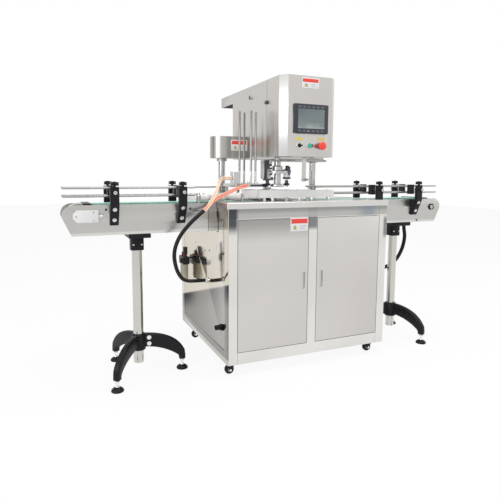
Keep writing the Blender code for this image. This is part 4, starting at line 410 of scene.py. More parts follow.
def brushed_steel(name, colour, roughness, grain=(1, 1, 60), variation=0.05, tones=None,
                  black=None, mirror=None, brush=0.05):
    """Brushed stainless steel. The grain's stretch is small along the brushing direction. One
    mask can turn a part of the piece into black plastic and another makes a part mirror bright."""
    book = Book(name, colour, roughness, 1.0, Specular_IOR_Level=0.22)
    grains = book.noise(9.0, grain, 4.0, 0.65)
    clouds = book.noise(3.2, (1, 1, 1), 2.0)
    shade = book.ramp(clouds, 0.3, 0.7) * 0.6 + grains * 0.4
    base = book.blend(shade, tinted(colour, 1 - variation), tinted(colour, 1 + variation))
    # Most tones paint shade, highlights and reflections into the colour; a few are dark seams
    for mask, tone in (tones(book) if tones else ()):
        base = book.blend(mask, base, (*tone, 1.0))
    rough = grains * 0.12 + clouds * 0.08 + (roughness - 0.10)
    if mirror:
        rough = rough * (1.0 - mirror(book) * 0.42)
    if black:
        mask = black(book)
        base = book.blend(mask, base, (*look().black, 1.0))
        rough = rough * (1.0 - mask) + mask * 0.42
        book.set("Metallic", 1.0 - mask)
    book.set("Base Color", base)
    book.set("Roughness", rough)
    if brush:
        book.bump(grains, brush, 0.0004)
    return book.material


def moulded(name, colour, roughness=0.45, variation=0.12, grain=900.0, tones=None, **fixed):
    """Moulded plastic or rubber with a fine grain and faint uneven patches."""
    book = Book(name, colour, roughness, 0.0, **fixed)
    clouds = book.noise(14.0, (1, 1, 1), 2.0)
    fine = book.noise(grain, (1, 1, 1), 2.0)
    base = book.blend(clouds, tinted(colour, 1 - variation), tinted(colour, 1 + variation))
    for mask, tone in (tones(book) if tones else ()):
        base = book.blend(mask, base, (*tone, 1.0))
    book.set("Base Color", base)
    book.set("Roughness", clouds * 0.14 + (roughness - 0.07))
    book.bump(fine, 0.06, 0.0005)
    return book.material


def panel_tones(book):
    """The cabinet's frame: painted shade under the table, painted reflections low on the end
    sheets.
    """
    x, y, z = book.axes()
    # Painted light on the front: shade under the table, dark reflections on the top rail and posts,
    # and a blue reflection
    front = book.ramp(y, 0.004, 0.001)
    head = book.ramp(z, 0.826, 0.832)
    shade_under_table = book.ramp(z, 0.845, 0.873)
    corner = book.ramp(x, 0.060, 0.040) * book.ramp(z, 0.735, 0.800)
    blue = book.ramp(x, 0.760, 0.850) * book.ramp(x, 0.880, 0.930, 1.0, 0.0)
    middle = book.within(x, 0.462, 0.520, 0.004) * book.ramp(z, 0.750, 0.780) * (1.0 - head * 0.85)
    last = book.ramp(x, 0.962, 0.975) * book.within(z, 0.700, 0.815, 0.02)
    # Painted reflections on the end sheets: a tan wall high up, a dark floor low down, darkest at
    # front and back, a lighter rim
    end = book.ramp(x, 0.0045, 0.0035)
    boundary = z + y * 0.286
    low = book.ramp(boundary, 0.500, 0.484)
    darkest_reflection = low * book.ramp(boundary, 0.360, 0.480)
    rim = book.ramp(z, 0.098, 0.086)
    seams = front * (book.within(x, 0.0540, 0.0552) + book.within(x, 0.9348, 0.9360)) * (
        book.ramp(z, 0.148, 0.146) + book.over(z, 0.8285))
    return ((front * head * 0.62, (0.30, 0.305, 0.29)),
            (front * shade_under_table * 0.50, (0.16, 0.17, 0.17)),
            (front * head * blue * 0.50, (0.17, 0.24, 0.32)),
            (front * corner * 0.93, (0.045, 0.052, 0.062)),
            (front * middle * 0.80, (0.11, 0.12, 0.13)),
            (front * last * 0.75, (0.10, 0.11, 0.12)),
            (end * 0.80, (0.66, 0.60, 0.50)),
            (end * low * 0.92, (0.24, 0.23, 0.215)),
            (end * darkest_reflection * book.ramp(y, 0.48, 0.74, 0.30, 0.97), (0.012, 0.012, 0.014)),
            (end * darkest_reflection * book.ramp(y, 0.120, 0.030, 0.0, 0.93), (0.012, 0.012, 0.014)),
            (end * rim * 0.8, (0.60, 0.59, 0.56)),
            (seams * 0.85, (0.05, 0.05, 0.05)))


def end_sheet(book):
    """The polished sheets at the cabinet's two ends."""
    x = book.axes()[0]
    return book.ramp(x, 0.0045, 0.0035) + book.ramp(x, 0.9855, 0.9865)


def door_tones(book):
    """The left door's head under the table painted darker as shade, and the right door's warmer
    foot.
    """
    x, _, z = book.axes()
    head = book.ramp(z, 0.690, 0.820)
    left = book.ramp(x, 0.500, 0.480)
    right_foot = book.ramp(x, 0.600, 0.980) * book.ramp(z, 0.700, 0.350)
    # Painted shade on the left door's head under the table
    return ((head * left * 0.66, (0.20, 0.20, 0.20)),
            (right_foot * 0.22, (0.52, 0.47, 0.47)))


def head_tones(book):
    """Painted highlight on the head's corner, painted shade and streaks on its side, the panel
    seam.
    """
    x, y, z = book.axes()
    corner = book.ramp(x + y, 0.371, 0.361) * book.ramp(y, 0.056, 0.054)
    side = book.ramp(x, 0.3085, 0.3075) * book.over(y, 0.056)
    reflection_streaks = book.noise(1.0, (1, 26, 0.8), 2.0, 0.5)
    lower = book.ramp(z, 1.42, 1.22)
    # A painted highlight on the corner; painted shade on the side, with streaks of painted
    # reflection low down
    return ((side * 0.20, (0.50, 0.48, 0.45)),
            (side * lower * book.ramp(reflection_streaks, 0.50, 0.66) * 0.62, (0.20, 0.195, 0.19)),
            (side * book.within(y, 0.1990, 0.2025, 0.0006) * 0.80, (0.08, 0.08, 0.08)),
            (corner, (0.60, 0.60, 0.595)))


def beam_tones(book):
    """Crossbeam: painted upright reflection bands, highlight on its round end, shade on its flat
    side.
    """
    x = book.axes()[0]
    reflection_bands = book.noise(1.0, (22, 22, 0.2), 1.0, 0.4)
    shaded_flat = book.ramp(x, 0.185, 0.235)
    highlit_round_end = book.within(x, 0.118, 0.150, 0.014)
    # Painted shade on the flat side, painted dark reflection bands, a painted highlight on the
    # round end
    return ((shaded_flat * 0.50, (0.26, 0.25, 0.24)),
            (book.ramp(reflection_bands, 0.46, 0.62) * 0.34, (0.14, 0.14, 0.14)),
            (highlit_round_end * 0.20, (0.62, 0.61, 0.59)))


def conveyor_tones(book):
    """The near plate's joint under the table; its mirror bright part beyond it painted darker as
    shade.
    """
    x, y, z = book.axes()
    front = book.ramp(y, PLATE_NEAR + 0.0012, PLATE_NEAR + 0.0006)
    joint = book.within(x, -0.0532, -0.0508)
    shaded_beyond = book.over(x, -0.051, 0.002) * book.ramp(x, 0.05, 0.0, 0.4, 1.0)
    top = book.ramp(z, 0.850, 0.885)
    reflected_nearer = book.within(x, -0.20, -0.052, 0.05) * book.ramp(z, 0.800, 0.840)
    low = book.ramp(z, 0.775, 0.766)
    # Painted shade beyond the joint inside the cabinet and painted dark reflections before it; the
    # joint is a dark gap
    return ((front * shaded_beyond * book.ramp(x, 0.967, 0.973, 0.62, 0.0), (0.26, 0.265, 0.27)),
            (front * reflected_nearer * 0.45, (0.24, 0.245, 0.25)),
            (front * top * 0.16, (0.30, 0.30, 0.30)),
            (front * low * 0.55, (0.80, 0.79, 0.77)),
            (front * joint, (0.012, 0.012, 0.012)))


def slat_tones(book):
    """The steel coloured turn of a slat chain at the conveyor's two ends."""
    x = book.axes()[0]
    turn = book.ramp(x, -0.645, -0.665) + book.ramp(x, 1.395, 1.415)
    return ((turn * 0.92, (0.44, 0.44, 0.43)),)


def magazine_tones(book):
    """The lid magazine's darker polished rods with painted reflection stripes over its pale
    machined plate.
    """
    z = book.axes()[2]
    rods = book.over(z, 1.0725, 0.001)
    reflection_stripes = book.noise(1.0, (140, 140, 0.2), 1.0, 0.4)
    # The rods' stripes are painted reflections
    return ((rods * 0.70, (0.26, 0.255, 0.25)),
            (rods * book.ramp(reflection_stripes, 0.50, 0.62) * 0.5, (0.08, 0.08, 0.08)))


def clamps_on_rails(book):
    """The black clamp blocks of the near and the far guide rails."""
    x, y, _ = book.axes()
    half = 0.0124
    near = sum(book.within(x, place - half, place + half) for place in NEAR_BRACKETS)
    far = sum(book.within(x, place - half, place + half) for place in FAR_BRACKETS)
    return near * book.within(y, 0.1610, 0.2000) + far * book.within(y, 0.3000, 0.3390)


def brackets_on_plate(book):
    """The black brackets that are one piece with the conveyor's far plate."""
    x, y, _ = book.axes()
    windows = sum(book.within(x, place - 0.0225, place + 0.0225) for place in FAR_BRACKETS)
    return windows * book.over(y, PLATE_FAR + 0.0007)


def stand_clamp(book):
    """The black clamp and plate at the top of a stand's post."""
    z = book.axes()[2]
    return book.over(z, STAND_CLAMP_LOW - 0.0005)


def screen_glass():
    """A touch screen that is off, with a painted reflection of the room's pale cloud and rows of
    dark keys.
    """
    book = Book("screen_glass", (0.05, 0.06, 0.07), 0.16, 0.0, Coat_Weight=0.4)
    x, _, z = book.axes()
    reflected_cloud = book.noise(9.0, (1, 1, 1.6), 2.0)
    # Painted reflection of the room: lighter low down and across the glass, with a pale cloud
    across = book.ramp(x - z * 0.7, -0.60, -0.40)
    tone = book.blend(book.ramp(z, 1.295, 1.400), (0.20, 0.245, 0.245, 1), (0.10, 0.135, 0.145, 1))
    tone = book.blend(across * 0.7, tone, (0.16, 0.20, 0.205, 1))
    tone = book.blend(book.ramp(z, 1.335, 1.300) * book.ramp(reflected_cloud, 0.35, 0.65) * 0.8, tone,
                      (0.42, 0.47, 0.46, 1))
    book.set("Base Color", tone)
    book.set("Roughness", reflected_cloud * 0.10 + 0.10)
    return book.material


def air_plastic():
    """The air unit's parts: black bodies, dark red rings and cream bowls with a grey foot."""
    book = Book("air_unit_plastic", (0.014, 0.014, 0.016), 0.34, Specular_IOR_Level=0.3)
    z = book.axes()[2]
    bowl = book.ramp(z, 0.4945, 0.4935)
    foot = book.ramp(z, 0.405, 0.400)
    ring = book.within(z, 0.5445, 0.5560)
    cloudy = book.noise(30.0, (1, 1, 0.5), 2.0)
    cream = book.blend(cloudy, (0.30, 0.27, 0.21, 1), (0.62, 0.57, 0.46, 1))
    base = book.blend(bowl, (0.014, 0.014, 0.016, 1), cream)
    base = book.blend(foot, base, (0.06, 0.06, 0.06, 1))
    base = book.blend(ring, base, (0.20, 0.012, 0.030, 1))
    book.set("Base Color", base)
    book.set("Roughness", cloudy * 0.12 + 0.26)
    return book.material


MATERIALS = {}


def make_materials(colours):
    """Make every material once, under its short name."""
    steel, dark, white = tuple(colours.steel), tuple(colours.black), tuple(colours.white)
    m = MATERIALS
    m["doors"] = brushed_steel("door_steel", steel, 0.36, (60, 60, 1), 0.03, door_tones)
    m["cabinet"] = brushed_steel("cabinet_steel", (0.74, 0.73, 0.70), 0.22, (40, 40, 1), 0.07,
                                 panel_tones, mirror=end_sheet, brush=0.02)
    m["head"] = brushed_steel("head_steel", (0.60, 0.58, 0.55), 0.34, (60, 60, 1), 0.03, head_tones)
    m["beam"] = brushed_steel("beam_steel", (0.50, 0.48, 0.45), 0.34, (50, 50, 1), 0.06, beam_tones)
    m["table"] = brushed_steel("table_steel", (0.66, 0.65, 0.63), 0.30, (1, 60, 60), 0.05)
    m["sheet"] = brushed_steel("conveyor_sheet", (0.53, 0.52, 0.50), 0.30, (1, 40, 60), 0.05,
                               conveyor_tones)
    m["far_sheet"] = brushed_steel("far_sheet", (0.53, 0.52, 0.50), 0.30, (1, 40, 60), 0.05,
                                   black=brackets_on_plate)
    m["rail"] = brushed_steel("rail_steel", (0.42, 0.41, 0.405), 0.24, (1, 20, 20), 0.04,
                              black=clamps_on_rails, brush=0)
    m["column"] = brushed_steel("column_steel", (0.50, 0.50, 0.49), 0.14, (30, 30, 1), 0.04,
                                brush=0)
    m["magazine"] = brushed_steel("magazine_steel", (0.52, 0.52, 0.52), 0.22, (8, 8, 8), 0.06,
                                  magazine_tones, brush=0)
    m["post"] = brushed_steel("stand_post_steel", (0.60, 0.585, 0.55), 0.14, (60, 60, 1), 0.05,
                              black=stand_clamp)
    m["machined"] = brushed_steel("machined_steel", (0.50, 0.50, 0.50), 0.28, (8, 8, 8), 0.10)
    m["chrome"] = brushed_steel("chrome", (0.82, 0.82, 0.82), 0.14, (8, 8, 8), 0.03)
    m["zinc"] = brushed_steel("bolt_steel", (0.70, 0.70, 0.69), 0.26, (8, 8, 8), 0.05)
    m["dark_steel"] = brushed_steel("dark_steel", (0.09, 0.09, 0.10), 0.40, (8, 8, 8), 0.2)
    m["black"] = moulded("black_plastic", dark, 0.38, Specular_IOR_Level=0.22)
    m["rubber"] = moulded("black_rubber", (0.009, 0.009, 0.010), 0.46, Specular_IOR_Level=0.22)
    m["white"] = moulded("white_plastic", white, 0.42, 0.03)
    m["bearing"] = moulded("bearing_plastic", (0.74, 0.74, 0.74), 0.40, 0.03)
    m["mint"] = moulded("mint_slats", tuple(colours.chain), 0.40, 0.06, tones=slat_tones)
    m["salmon"] = moulded("salmon_tube", (0.90, 0.34, 0.23), 0.30, 0.05, Coat_Weight=0.3)
    m["pale_tube"] = moulded("pale_tube", (0.90, 0.66, 0.50), 0.30, 0.05, Coat_Weight=0.3)
    m["paint"] = moulded("grey_paint", (0.27, 0.30, 0.33), 0.45)
    m["bezel"] = moulded("bezel_plastic", (0.030, 0.033, 0.044), 0.35)
    m["keys"] = moulded("key_print", (0.11, 0.115, 0.14), 0.40)
    m["glass"] = screen_glass()
    m["red"] = moulded("red_plastic", (0.86, 0.070, 0.045), 0.30, 0.06)
    m["green"] = moulded("green_plastic", (0.045, 0.42, 0.30), 0.30, 0.06)
    m["yellow"] = moulded("yellow_plate", (0.78, 0.64, 0.10), 0.45, 0.05)
    m["air"] = air_plastic()
    m["label_red"] = moulded("label_red", (0.80, 0.060, 0.045), 0.40, 0.04)
    m["label_white"] = moulded("label_white", (0.80, 0.79, 0.77), 0.40, 0.03)
    m["dark_red"] = moulded("dark_red", (0.42, 0.03, 0.03), 0.35, 0.06)
    m["label_olive"] = moulded("label_olive", (0.42, 0.40, 0.16), 0.45, 0.05)
    m["label_blue"] = moulded("label_blue", (0.52, 0.55, 0.66), 0.45, 0.04)


class SeamerLook(bpy.types.PropertyGroup):
    """The machine's colours."""

    steel: bpy.props.FloatVectorProperty(
        name="Steel", description="Colour of the brushed doors", subtype="COLOR",
        default=(0.64, 0.62, 0.59), min=0, max=1)
    black: bpy.props.FloatVectorProperty(
        name="Black", description="Colour of the clamps, feet and casters", subtype="COLOR",
        default=(0.007, 0.007, 0.009), min=0, max=1)
    white: bpy.props.FloatVectorProperty(
        name="White", description="Colour of the star wheel and guides", subtype="COLOR",
        default=(0.80, 0.80, 0.79), min=0, max=1)
    chain: bpy.props.FloatVectorProperty(
        name="Chain", description="Colour of the conveyor's slats", subtype="COLOR",
        default=(0.40, 0.74, 0.62), min=0, max=1)


class SeamerSizes(bpy.types.PropertyGroup):
    """Radii of the hoses and air tubes."""

    left_hose: bpy.props.FloatProperty(
        name="Left hose", description="Radius of the left black hose", unit="LENGTH",
        default=0.010, min=0.004, max=0.014)
    right_hose: bpy.props.FloatProperty(
        name="Right hose", description="Radius of the right black hose", unit="LENGTH",
        default=0.012, min=0.004, max=0.016)
    air_tube: bpy.props.FloatProperty(
        name="Air tube", description="Radius of one air tube", unit="LENGTH",
        default=0.0048, min=0.002, max=0.0049)



def look():
    """The colours that the panel shows."""
    return bpy.context.scene.seamer_look


def radius_of(name):
    """A radius that the panel shows, in metres to six places."""
    return round(getattr(bpy.context.scene.seamer_sizes, name), 6)


def bolt(name, place, outward, radius=0.0055, height=0.004):
    """A hexagon bolt on a washer, standing out of a face."""
    place, outward = Vector(place), Vector(outward).normalized()
    washer = bar(name, place - outward * 0.001, place + outward * 0.0012, radius * 1.35, 20)
    head = bar(name + "_head", place, place + outward * height, radius, 6, radius * 0.12)
    return merge(name, [washer, head])


class SEAMER_OT_stage(bpy.types.Operator):
    """Set up the white floor, the dark cards, the soft lights and the camera"""

    bl_idname = "seamer.stage"
    bl_label = "Stage"

    def execute(self, context):
        scene = context.scene
        scene.view_settings.view_transform = "Standard"
        start_fresh()
        bpy.ops.mesh.primitive_plane_add(size=24, location=(0, 3, -0.0008))
        floor = settle("floor")
        floor.data.materials.append(self.floor_paint())
        world = bpy.data.worlds.new("studio")
        scene.world = world
        world.use_nodes = True
        nodes, links = world.node_tree.nodes, world.node_tree.links
        back = nodes["Background"]
        back.inputs["Color"].default_value = (1, 1, 1, 1)
        back.inputs["Strength"].default_value = 0.62
        seen = nodes.new("ShaderNodeBackground")
        seen.inputs["Color"].default_value = (1, 1, 1, 1)
        seen.inputs["Strength"].default_value = 1.0
        mix = nodes.new("ShaderNodeMixShader")
        links.new(self.seen_directly(nodes, links), mix.inputs[0])
        links.new(back.outputs[0], mix.inputs[1])
        links.new(seen.outputs[0], mix.inputs[2])
        links.new(mix.outputs[0], nodes["World Output"].inputs["Surface"])
        self.flag("flag_left", (-3.2, 0.9), 0.9)
        self.flag("flag_right", (3.6, -0.2), 1.0)
        self.lamp("lamp_top", (0.2, -0.6, 3.6), (0.1, 0.0, 0.8), 2.6, 60)
        self.lamp("lamp_left", (-3.4, -1.9, 2.0), (-0.1, -0.2, 0.9), 1.8, 42)
        self.lamp("lamp_right", (4.6, -0.9, 2.2), (0.2, 0.0, 0.8), 1.6, 30)
        self.camera(context)
        return {"FINISHED"}

    def floor_paint(self):
        """White to the camera and in reflections, with the machine's soft shadow kept."""
        material = bpy.data.materials.new("floor_white")
        material.use_nodes = True
        nodes, links = material.node_tree.nodes, material.node_tree.links
        shader = nodes["Principled BSDF"]
        shader.inputs["Base Color"].default_value = (0.9, 0.9, 0.9, 1)
        shader.inputs["Roughness"].default_value = 1.0
        shader.inputs["Specular IOR Level"].default_value = 0.0
        glow = nodes.new("ShaderNodeEmission")
        glow.inputs["Color"].default_value = (1, 1, 1, 1)
        glow.inputs["Strength"].default_value = 1.0
        share = nodes.new("ShaderNodeMath")
        share.operation = "MULTIPLY"
        share.inputs[1].default_value = 0.90
        links.new(self.seen_directly(nodes, links), share.inputs[0])
        mix = nodes.new("ShaderNodeMixShader")
        links.new(share.outputs[0], mix.inputs[0])
        links.new(shader.outputs[0], mix.inputs[1])
        links.new(glow.outputs[0], mix.inputs[2])
        links.new(mix.outputs[0], nodes["Material Output"].inputs["Surface"])
        return material

    def seen_directly(self, nodes, links):
        """One for what the camera sees, straight, in a reflection or through clear plastic."""
        path = nodes.new("ShaderNodeLightPath")
        either = nodes.new("ShaderNodeMath")
        either.operation = "MAXIMUM"
        links.new(path.outputs["Is Camera Ray"], either.inputs[0])
        links.new(path.outputs["Is Glossy Ray"], either.inputs[1])
        third = nodes.new("ShaderNodeMath")
        third.operation = "MAXIMUM"
        links.new(either.outputs[0], third.inputs[0])
        links.new(path.outputs["Is Transmission Ray"], third.inputs[1])
        return third.outputs[0]

    def flag(self, name, place, width):
        """A tall black studio card that only the polished metal shows, as a dark stripe."""
        start_fresh()
        bpy.ops.mesh.primitive_plane_add(size=1, location=(*place, 1.6),
                                         rotation=(pi / 2, 0, atan2(place[1], place[0]) + pi / 2),
                                         scale=(width, 3.0, 1))
        card = settle(name)
        paint = bpy.data.materials.new(name + "_black")
        paint.use_nodes = True
        shader = paint.node_tree.nodes["Principled BSDF"]
        shader.inputs["Base Color"].default_value = (0.01, 0.01, 0.01, 1)
        shader.inputs["Roughness"].default_value = 1.0
        card.data.materials.append(paint)
        card.visible_camera = False
        card.visible_diffuse = False
        card.visible_shadow = False

    def lamp(self, name, place, target, size, power):
        """A square soft lamp that faces a target."""
        light = bpy.data.lights.new(name, "AREA")
        light.shape = "SQUARE"
        light.size = size
        light.energy = power
        lamp = bpy.data.objects.new(name, light)
        bpy.context.collection.objects.link(lamp)
        lamp.location = place
        aim = Vector(target) - Vector(place)
        lamp.rotation_euler = aim.to_track_quat("-Z", "Y").to_euler()

    def camera(self, context):
        """The photograph's viewpoint, worked out from the edges of the cabinet and conveyor."""
        yaw, pitch, roll = radians(22.70), radians(6.22), radians(0.252)
        ahead = Vector((sin(yaw) * cos(pitch), cos(yaw) * cos(pitch), -sin(pitch)))
        right = Vector((cos(yaw), -sin(yaw), 0))
        up = right.cross(ahead)
        basis = Matrix((right, up, -ahead)).transposed().to_4x4()
        data = bpy.data.cameras.new("camera")
        data.sensor_width = 36
        data.lens = 33.887
        data.shift_x = 0.0191
        data.shift_y = -0.0477
        data.clip_start = 0.01
        camera = bpy.data.objects.new("camera", data)
        context.collection.objects.link(camera)
        camera.matrix_world = (Matrix.Translation(at(-0.849, -2.190, 1.052)) @ basis
                               @ Matrix.Rotation(roll, 4, "Z"))
        context.scene.camera = camera


class SEAMER_OT_cabinet(bpy.types.Operator):
    """Finish the cabinet's frame, doors, table and back"""

    bl_idname = "seamer.cabinet"
    bl_label = "Cabinet"

    def execute(self, context):
        polish_node("cabinet_frame", "cabinet", 0.0012)
        polish_node("back_panel", "doors")
        for name in ("left_door", "right_door"):
            polish_node(name, "doors", 0.0008)
        for name in ("table_front", "table_rear"):
            polish_node(name, "table")
        for name in ("drive_motor", "electrical_plate"):
            polish_node(name, "paint")
        low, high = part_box("left_door")
        right, top = high[0] - 0.004, high[2] - 0.004
        label_field("door_label", (right - 0.108, low[1] - 0.0014, top - 0.072),
                    (right, low[1] - 0.0002, top), "left_door")
        for number, (y, z) in enumerate(((0.384, 0.615), (0.302, 0.627), (0.560, 0.640))):
            name = f"end_sheet_bolt_{number + 1}"
            piece = bolt(name, at(0.003, y, z), (-1, 0, 0), 0.0052, 0.0045)
            present(piece, "zinc", "machine")
        return {"FINISHED"}


def label_field(name, low, high, body, red_share=0.42):
    """A plain label: a white field, a red band along its top, an olive mark and two pale lines."""
    plate = block(name + "_field", low, high, 0.0004)
    present(plate, "label_white", body)
    inset = (high[0] - low[0]) * 0.045
    band_low = (low[0] + inset, low[1] - 0.0004, high[2] - (high[2] - low[2]) * red_share)
    band_high = (high[0] - inset, high[1] - 0.0001, high[2] - inset)
    band = block(name + "_band", band_low, band_high, 0.0003)
    present(band, "label_red", body)
    width, height = high[0] - low[0], high[2] - low[2]
    mark = block(name + "_mark", (low[0] + width * 0.17, low[1] - 0.0003, low[2] + height * 0.14),
                 (low[0] + width * 0.33, low[1] - 0.0001, low[2] + height * 0.42), 0.0002)
    present(mark, "label_olive", body)
    lines = []
    for step, (start, end) in enumerate(((0.52, 0.90), (0.52, 0.82))):
        z = low[2] + height * (0.36 - 0.17 * step)
        lines.append(block(f"{name}_line_{step}", (low[0] + width * start, low[1] - 0.0003, z),
                           (low[0] + width * end, low[1] - 0.0001, z + height * 0.07), 0.0001))
    present(merge(name + "_lines", lines), "label_blue", body)


class SEAMER_OT_casters(bpy.types.Operator):
    """Finish the four casters and their wheels' axle nuts"""

    bl_idname = "seamer.casters"
    bl_label = "Casters"

    def execute(self, context):
        for number in range(1, 5):
            polish_node(f"caster_fork_{number}", "black", 0.0006)
            polish_node(f"caster_wheel_{number}", "rubber", 0.0015)
            low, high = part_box(f"caster_wheel_{number}")
            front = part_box(f"caster_fork_{number}")[0][1]
            hub = Vector(((low[0] + high[0]) / 2, low[1], (low[2] + high[2]) / 2))
            disc = spun(f"wheel_disc_{number}", [(0.0045, -0.0002), (0.0100, -0.0002),
                                                 (0.0105, -0.0012), (0.0060, -0.0022),
                                                 (0.0045, -0.0020)], hub, "Y")
            present(disc, "machined", f"wheel_{number}")
            axle = bolt(f"caster_axle_{number}", (hub[0], front + 0.0004, hub[2]), (0, -1, 0),
                        0.0048, 0.0036)
            present(axle, "chrome", f"caster_{number}")
        return {"FINISHED"}


class SEAMER_OT_conveyor(bpy.types.Operator):
    """Finish the conveyor's plates, chains, shafts and end bearings"""

    bl_idname = "seamer.conveyor"
    bl_label = "Conveyor"

    def execute(self, context):
        polish_node("conveyor_near_plate", "sheet", 0.0006)
        polish_node("conveyor_far_plate", "far_sheet")
        polish_node("conveyor_bed", "machined")
        for name in ("infeed_chain", "outfeed_chain"):
            polish_node(name, "mint")
        for name in ("infeed_idler_shaft", "infeed_drive_shaft", "outfeed_idler_shaft",
                     "outfeed_drive_shaft"):
            polish_node(name, "machined")
        polish_node("take_up_bearing", "bearing", 0.0012)
        self.take_up_details()
        self.drive_bearing_details()
        for number, (x, z) in enumerate(((-0.573, 0.882), (-0.150, 0.878), (1.361, 0.768))):
            screw = dome(f"plate_screw_{number + 1}", at(x, PLATE_NEAR, z), 0.0062)
            present(screw, "dark_steel", "machine")
        for number, (left, right) in enumerate(((-0.676, -0.640), (1.395, 1.440))):
            cover = block(f"end_cover_{number + 1}",
                          at(left, PLATE_NEAR + 0.001, PLATE_TOP - 0.001),
                          at(right, PLATE_FAR - 0.001, CHAIN_TOP + 0.0018), 0.0008)
            present(cover, "black", "machine")
        return {"FINISHED"}

    def take_up_details(self):
        """Three cap screws and the tension bolt's nut on the end bearing."""
        low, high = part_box("take_up_bearing")
        middle = (low[2] + high[2]) / 2
        left, front = low[0], low[1]
        places = ((left + 0.014, middle), (left + 0.093, middle + 0.020),
                  (left + 0.093, middle - 0.020))
        for number, (x, z) in enumerate(places):
            screw = dome(f"bearing_screw_{number + 1}", (x, front, z), 0.0042)
            present(screw, "machined", "machine")
        nut = bar("tension_nut", (high[0] - 0.022, front + 0.009, middle),
                  (high[0] - 0.014, front + 0.009, middle), 0.0088, 6, 0.0008)
        present(nut, "zinc", "machine")

    def drive_bearing_details(self):
        """The black split ring and the bright shaft end of the drive's bearing."""
        low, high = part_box("outfeed_drive_shaft")
        x, z = (low[0] + high[0]) / 2, (low[2] + high[2]) / 2
        ring = spun("drive_ring", [(0.0112, 0.0), (0.0205, 0.0), (0.0205, -0.0085),
                                   (0.0190, -0.0100), (0.0130, -0.0100), (0.0112, -0.0085)],
                    (x, at(0, PLATE_NEAR, 0)[1] - 0.0004, z), "Y")
        present(ring, "black", "machine")
        for number in range(3):
            angle = radians(30 + 120 * number)
            place = (x + 0.0162 * cos(angle), at(0, PLATE_NEAR, 0)[1] - 0.0103,
                     z + 0.0162 * sin(angle))
            screw = dome(f"drive_ring_screw_{number + 1}", place, 0.0026)
            present(screw, "chrome", "machine")


def dome(name, place, radius):
    """A round headed screw on a face that looks toward the operator."""
    profile = [(0.0001, -radius * 0.62), (radius * 0.55, -radius * 0.56),
               (radius * 0.9, -radius * 0.3), (radius, 0.0), (radius, 0.0004), (0.0001, 0.0004)]
    return spun(name, profile, place, "Y", 20)


class SEAMER_OT_guides(bpy.types.Operator):
    """Finish the guide brackets and the rails they hold"""

    bl_idname = "seamer.guides"
    bl_label = "Guides"

    def execute(self, context):
        for name in ("infeed_near_rail", "infeed_far_rail", "outfeed_near_rail",
                     "outfeed_far_rail"):
            polish_node(name, "rail")
        for number, x in enumerate(NEAR_BRACKETS):
            polish_node(f"guide_bracket_{number + 1}", "black", 0.0012)
            self.bracket_bolts(number + 1, x)
            self.knob_top(f"near_knob_{number + 1}", x, PLATE_NEAR - BRACKET_REACH + 0.010)
            self.rod_end(f"near_rod_end_{number + 1}", x,
                         "infeed_near_rail" if x < 0 else "outfeed_near_rail")
        for number, x in enumerate(FAR_BRACKETS):
            self.knob_top(f"far_knob_{number + 1}", x, PLATE_FAR + BRACKET_REACH - 0.010)
        return {"FINISHED"}

    def bracket_bolts(self, number, x):
        """Two bright socket bolts on the bracket's sloping front."""
        slope = Vector((0, -0.094, -0.043)).normalized()
        for step, z in enumerate((0.884, 0.832)):
            share = (z - 0.805) / 0.094
            y = PLATE_NEAR - 0.0003 - 0.012 - 0.043 * share
            piece = bolt(f"bracket_bolt_{number}_{step + 1}", at(x, y, z), slope, 0.0075, 0.0050)
            present(piece, "zinc", "machine")

    def knob_top(self, name, x, y):
        """A star knob's raised middle over the cast lobes."""
        centre = at(x, y, KNOB_TOP_Z)
        cap = spun(name, [(0.0105, 0.0), (0.0105, 0.0016), (0.0085, 0.0030), (0.0001, 0.0034)],
                   centre, "Z", 32)
        present(cap, "black", "machine")

    def rod_end(self, name, x, body):
        """The bright stop ring at the outer end of a near cross rod."""
        end = PLATE_NEAR - BRACKET_REACH - CROSS_ROD_STICK_OUT
        ring = bar(name, at(x, end + 0.0002, CROSS_ROD_Z), at(x, end + 0.0046, CROSS_ROD_Z),
                   0.0088, 24, 0.0008)
        present(ring, "zinc", body)


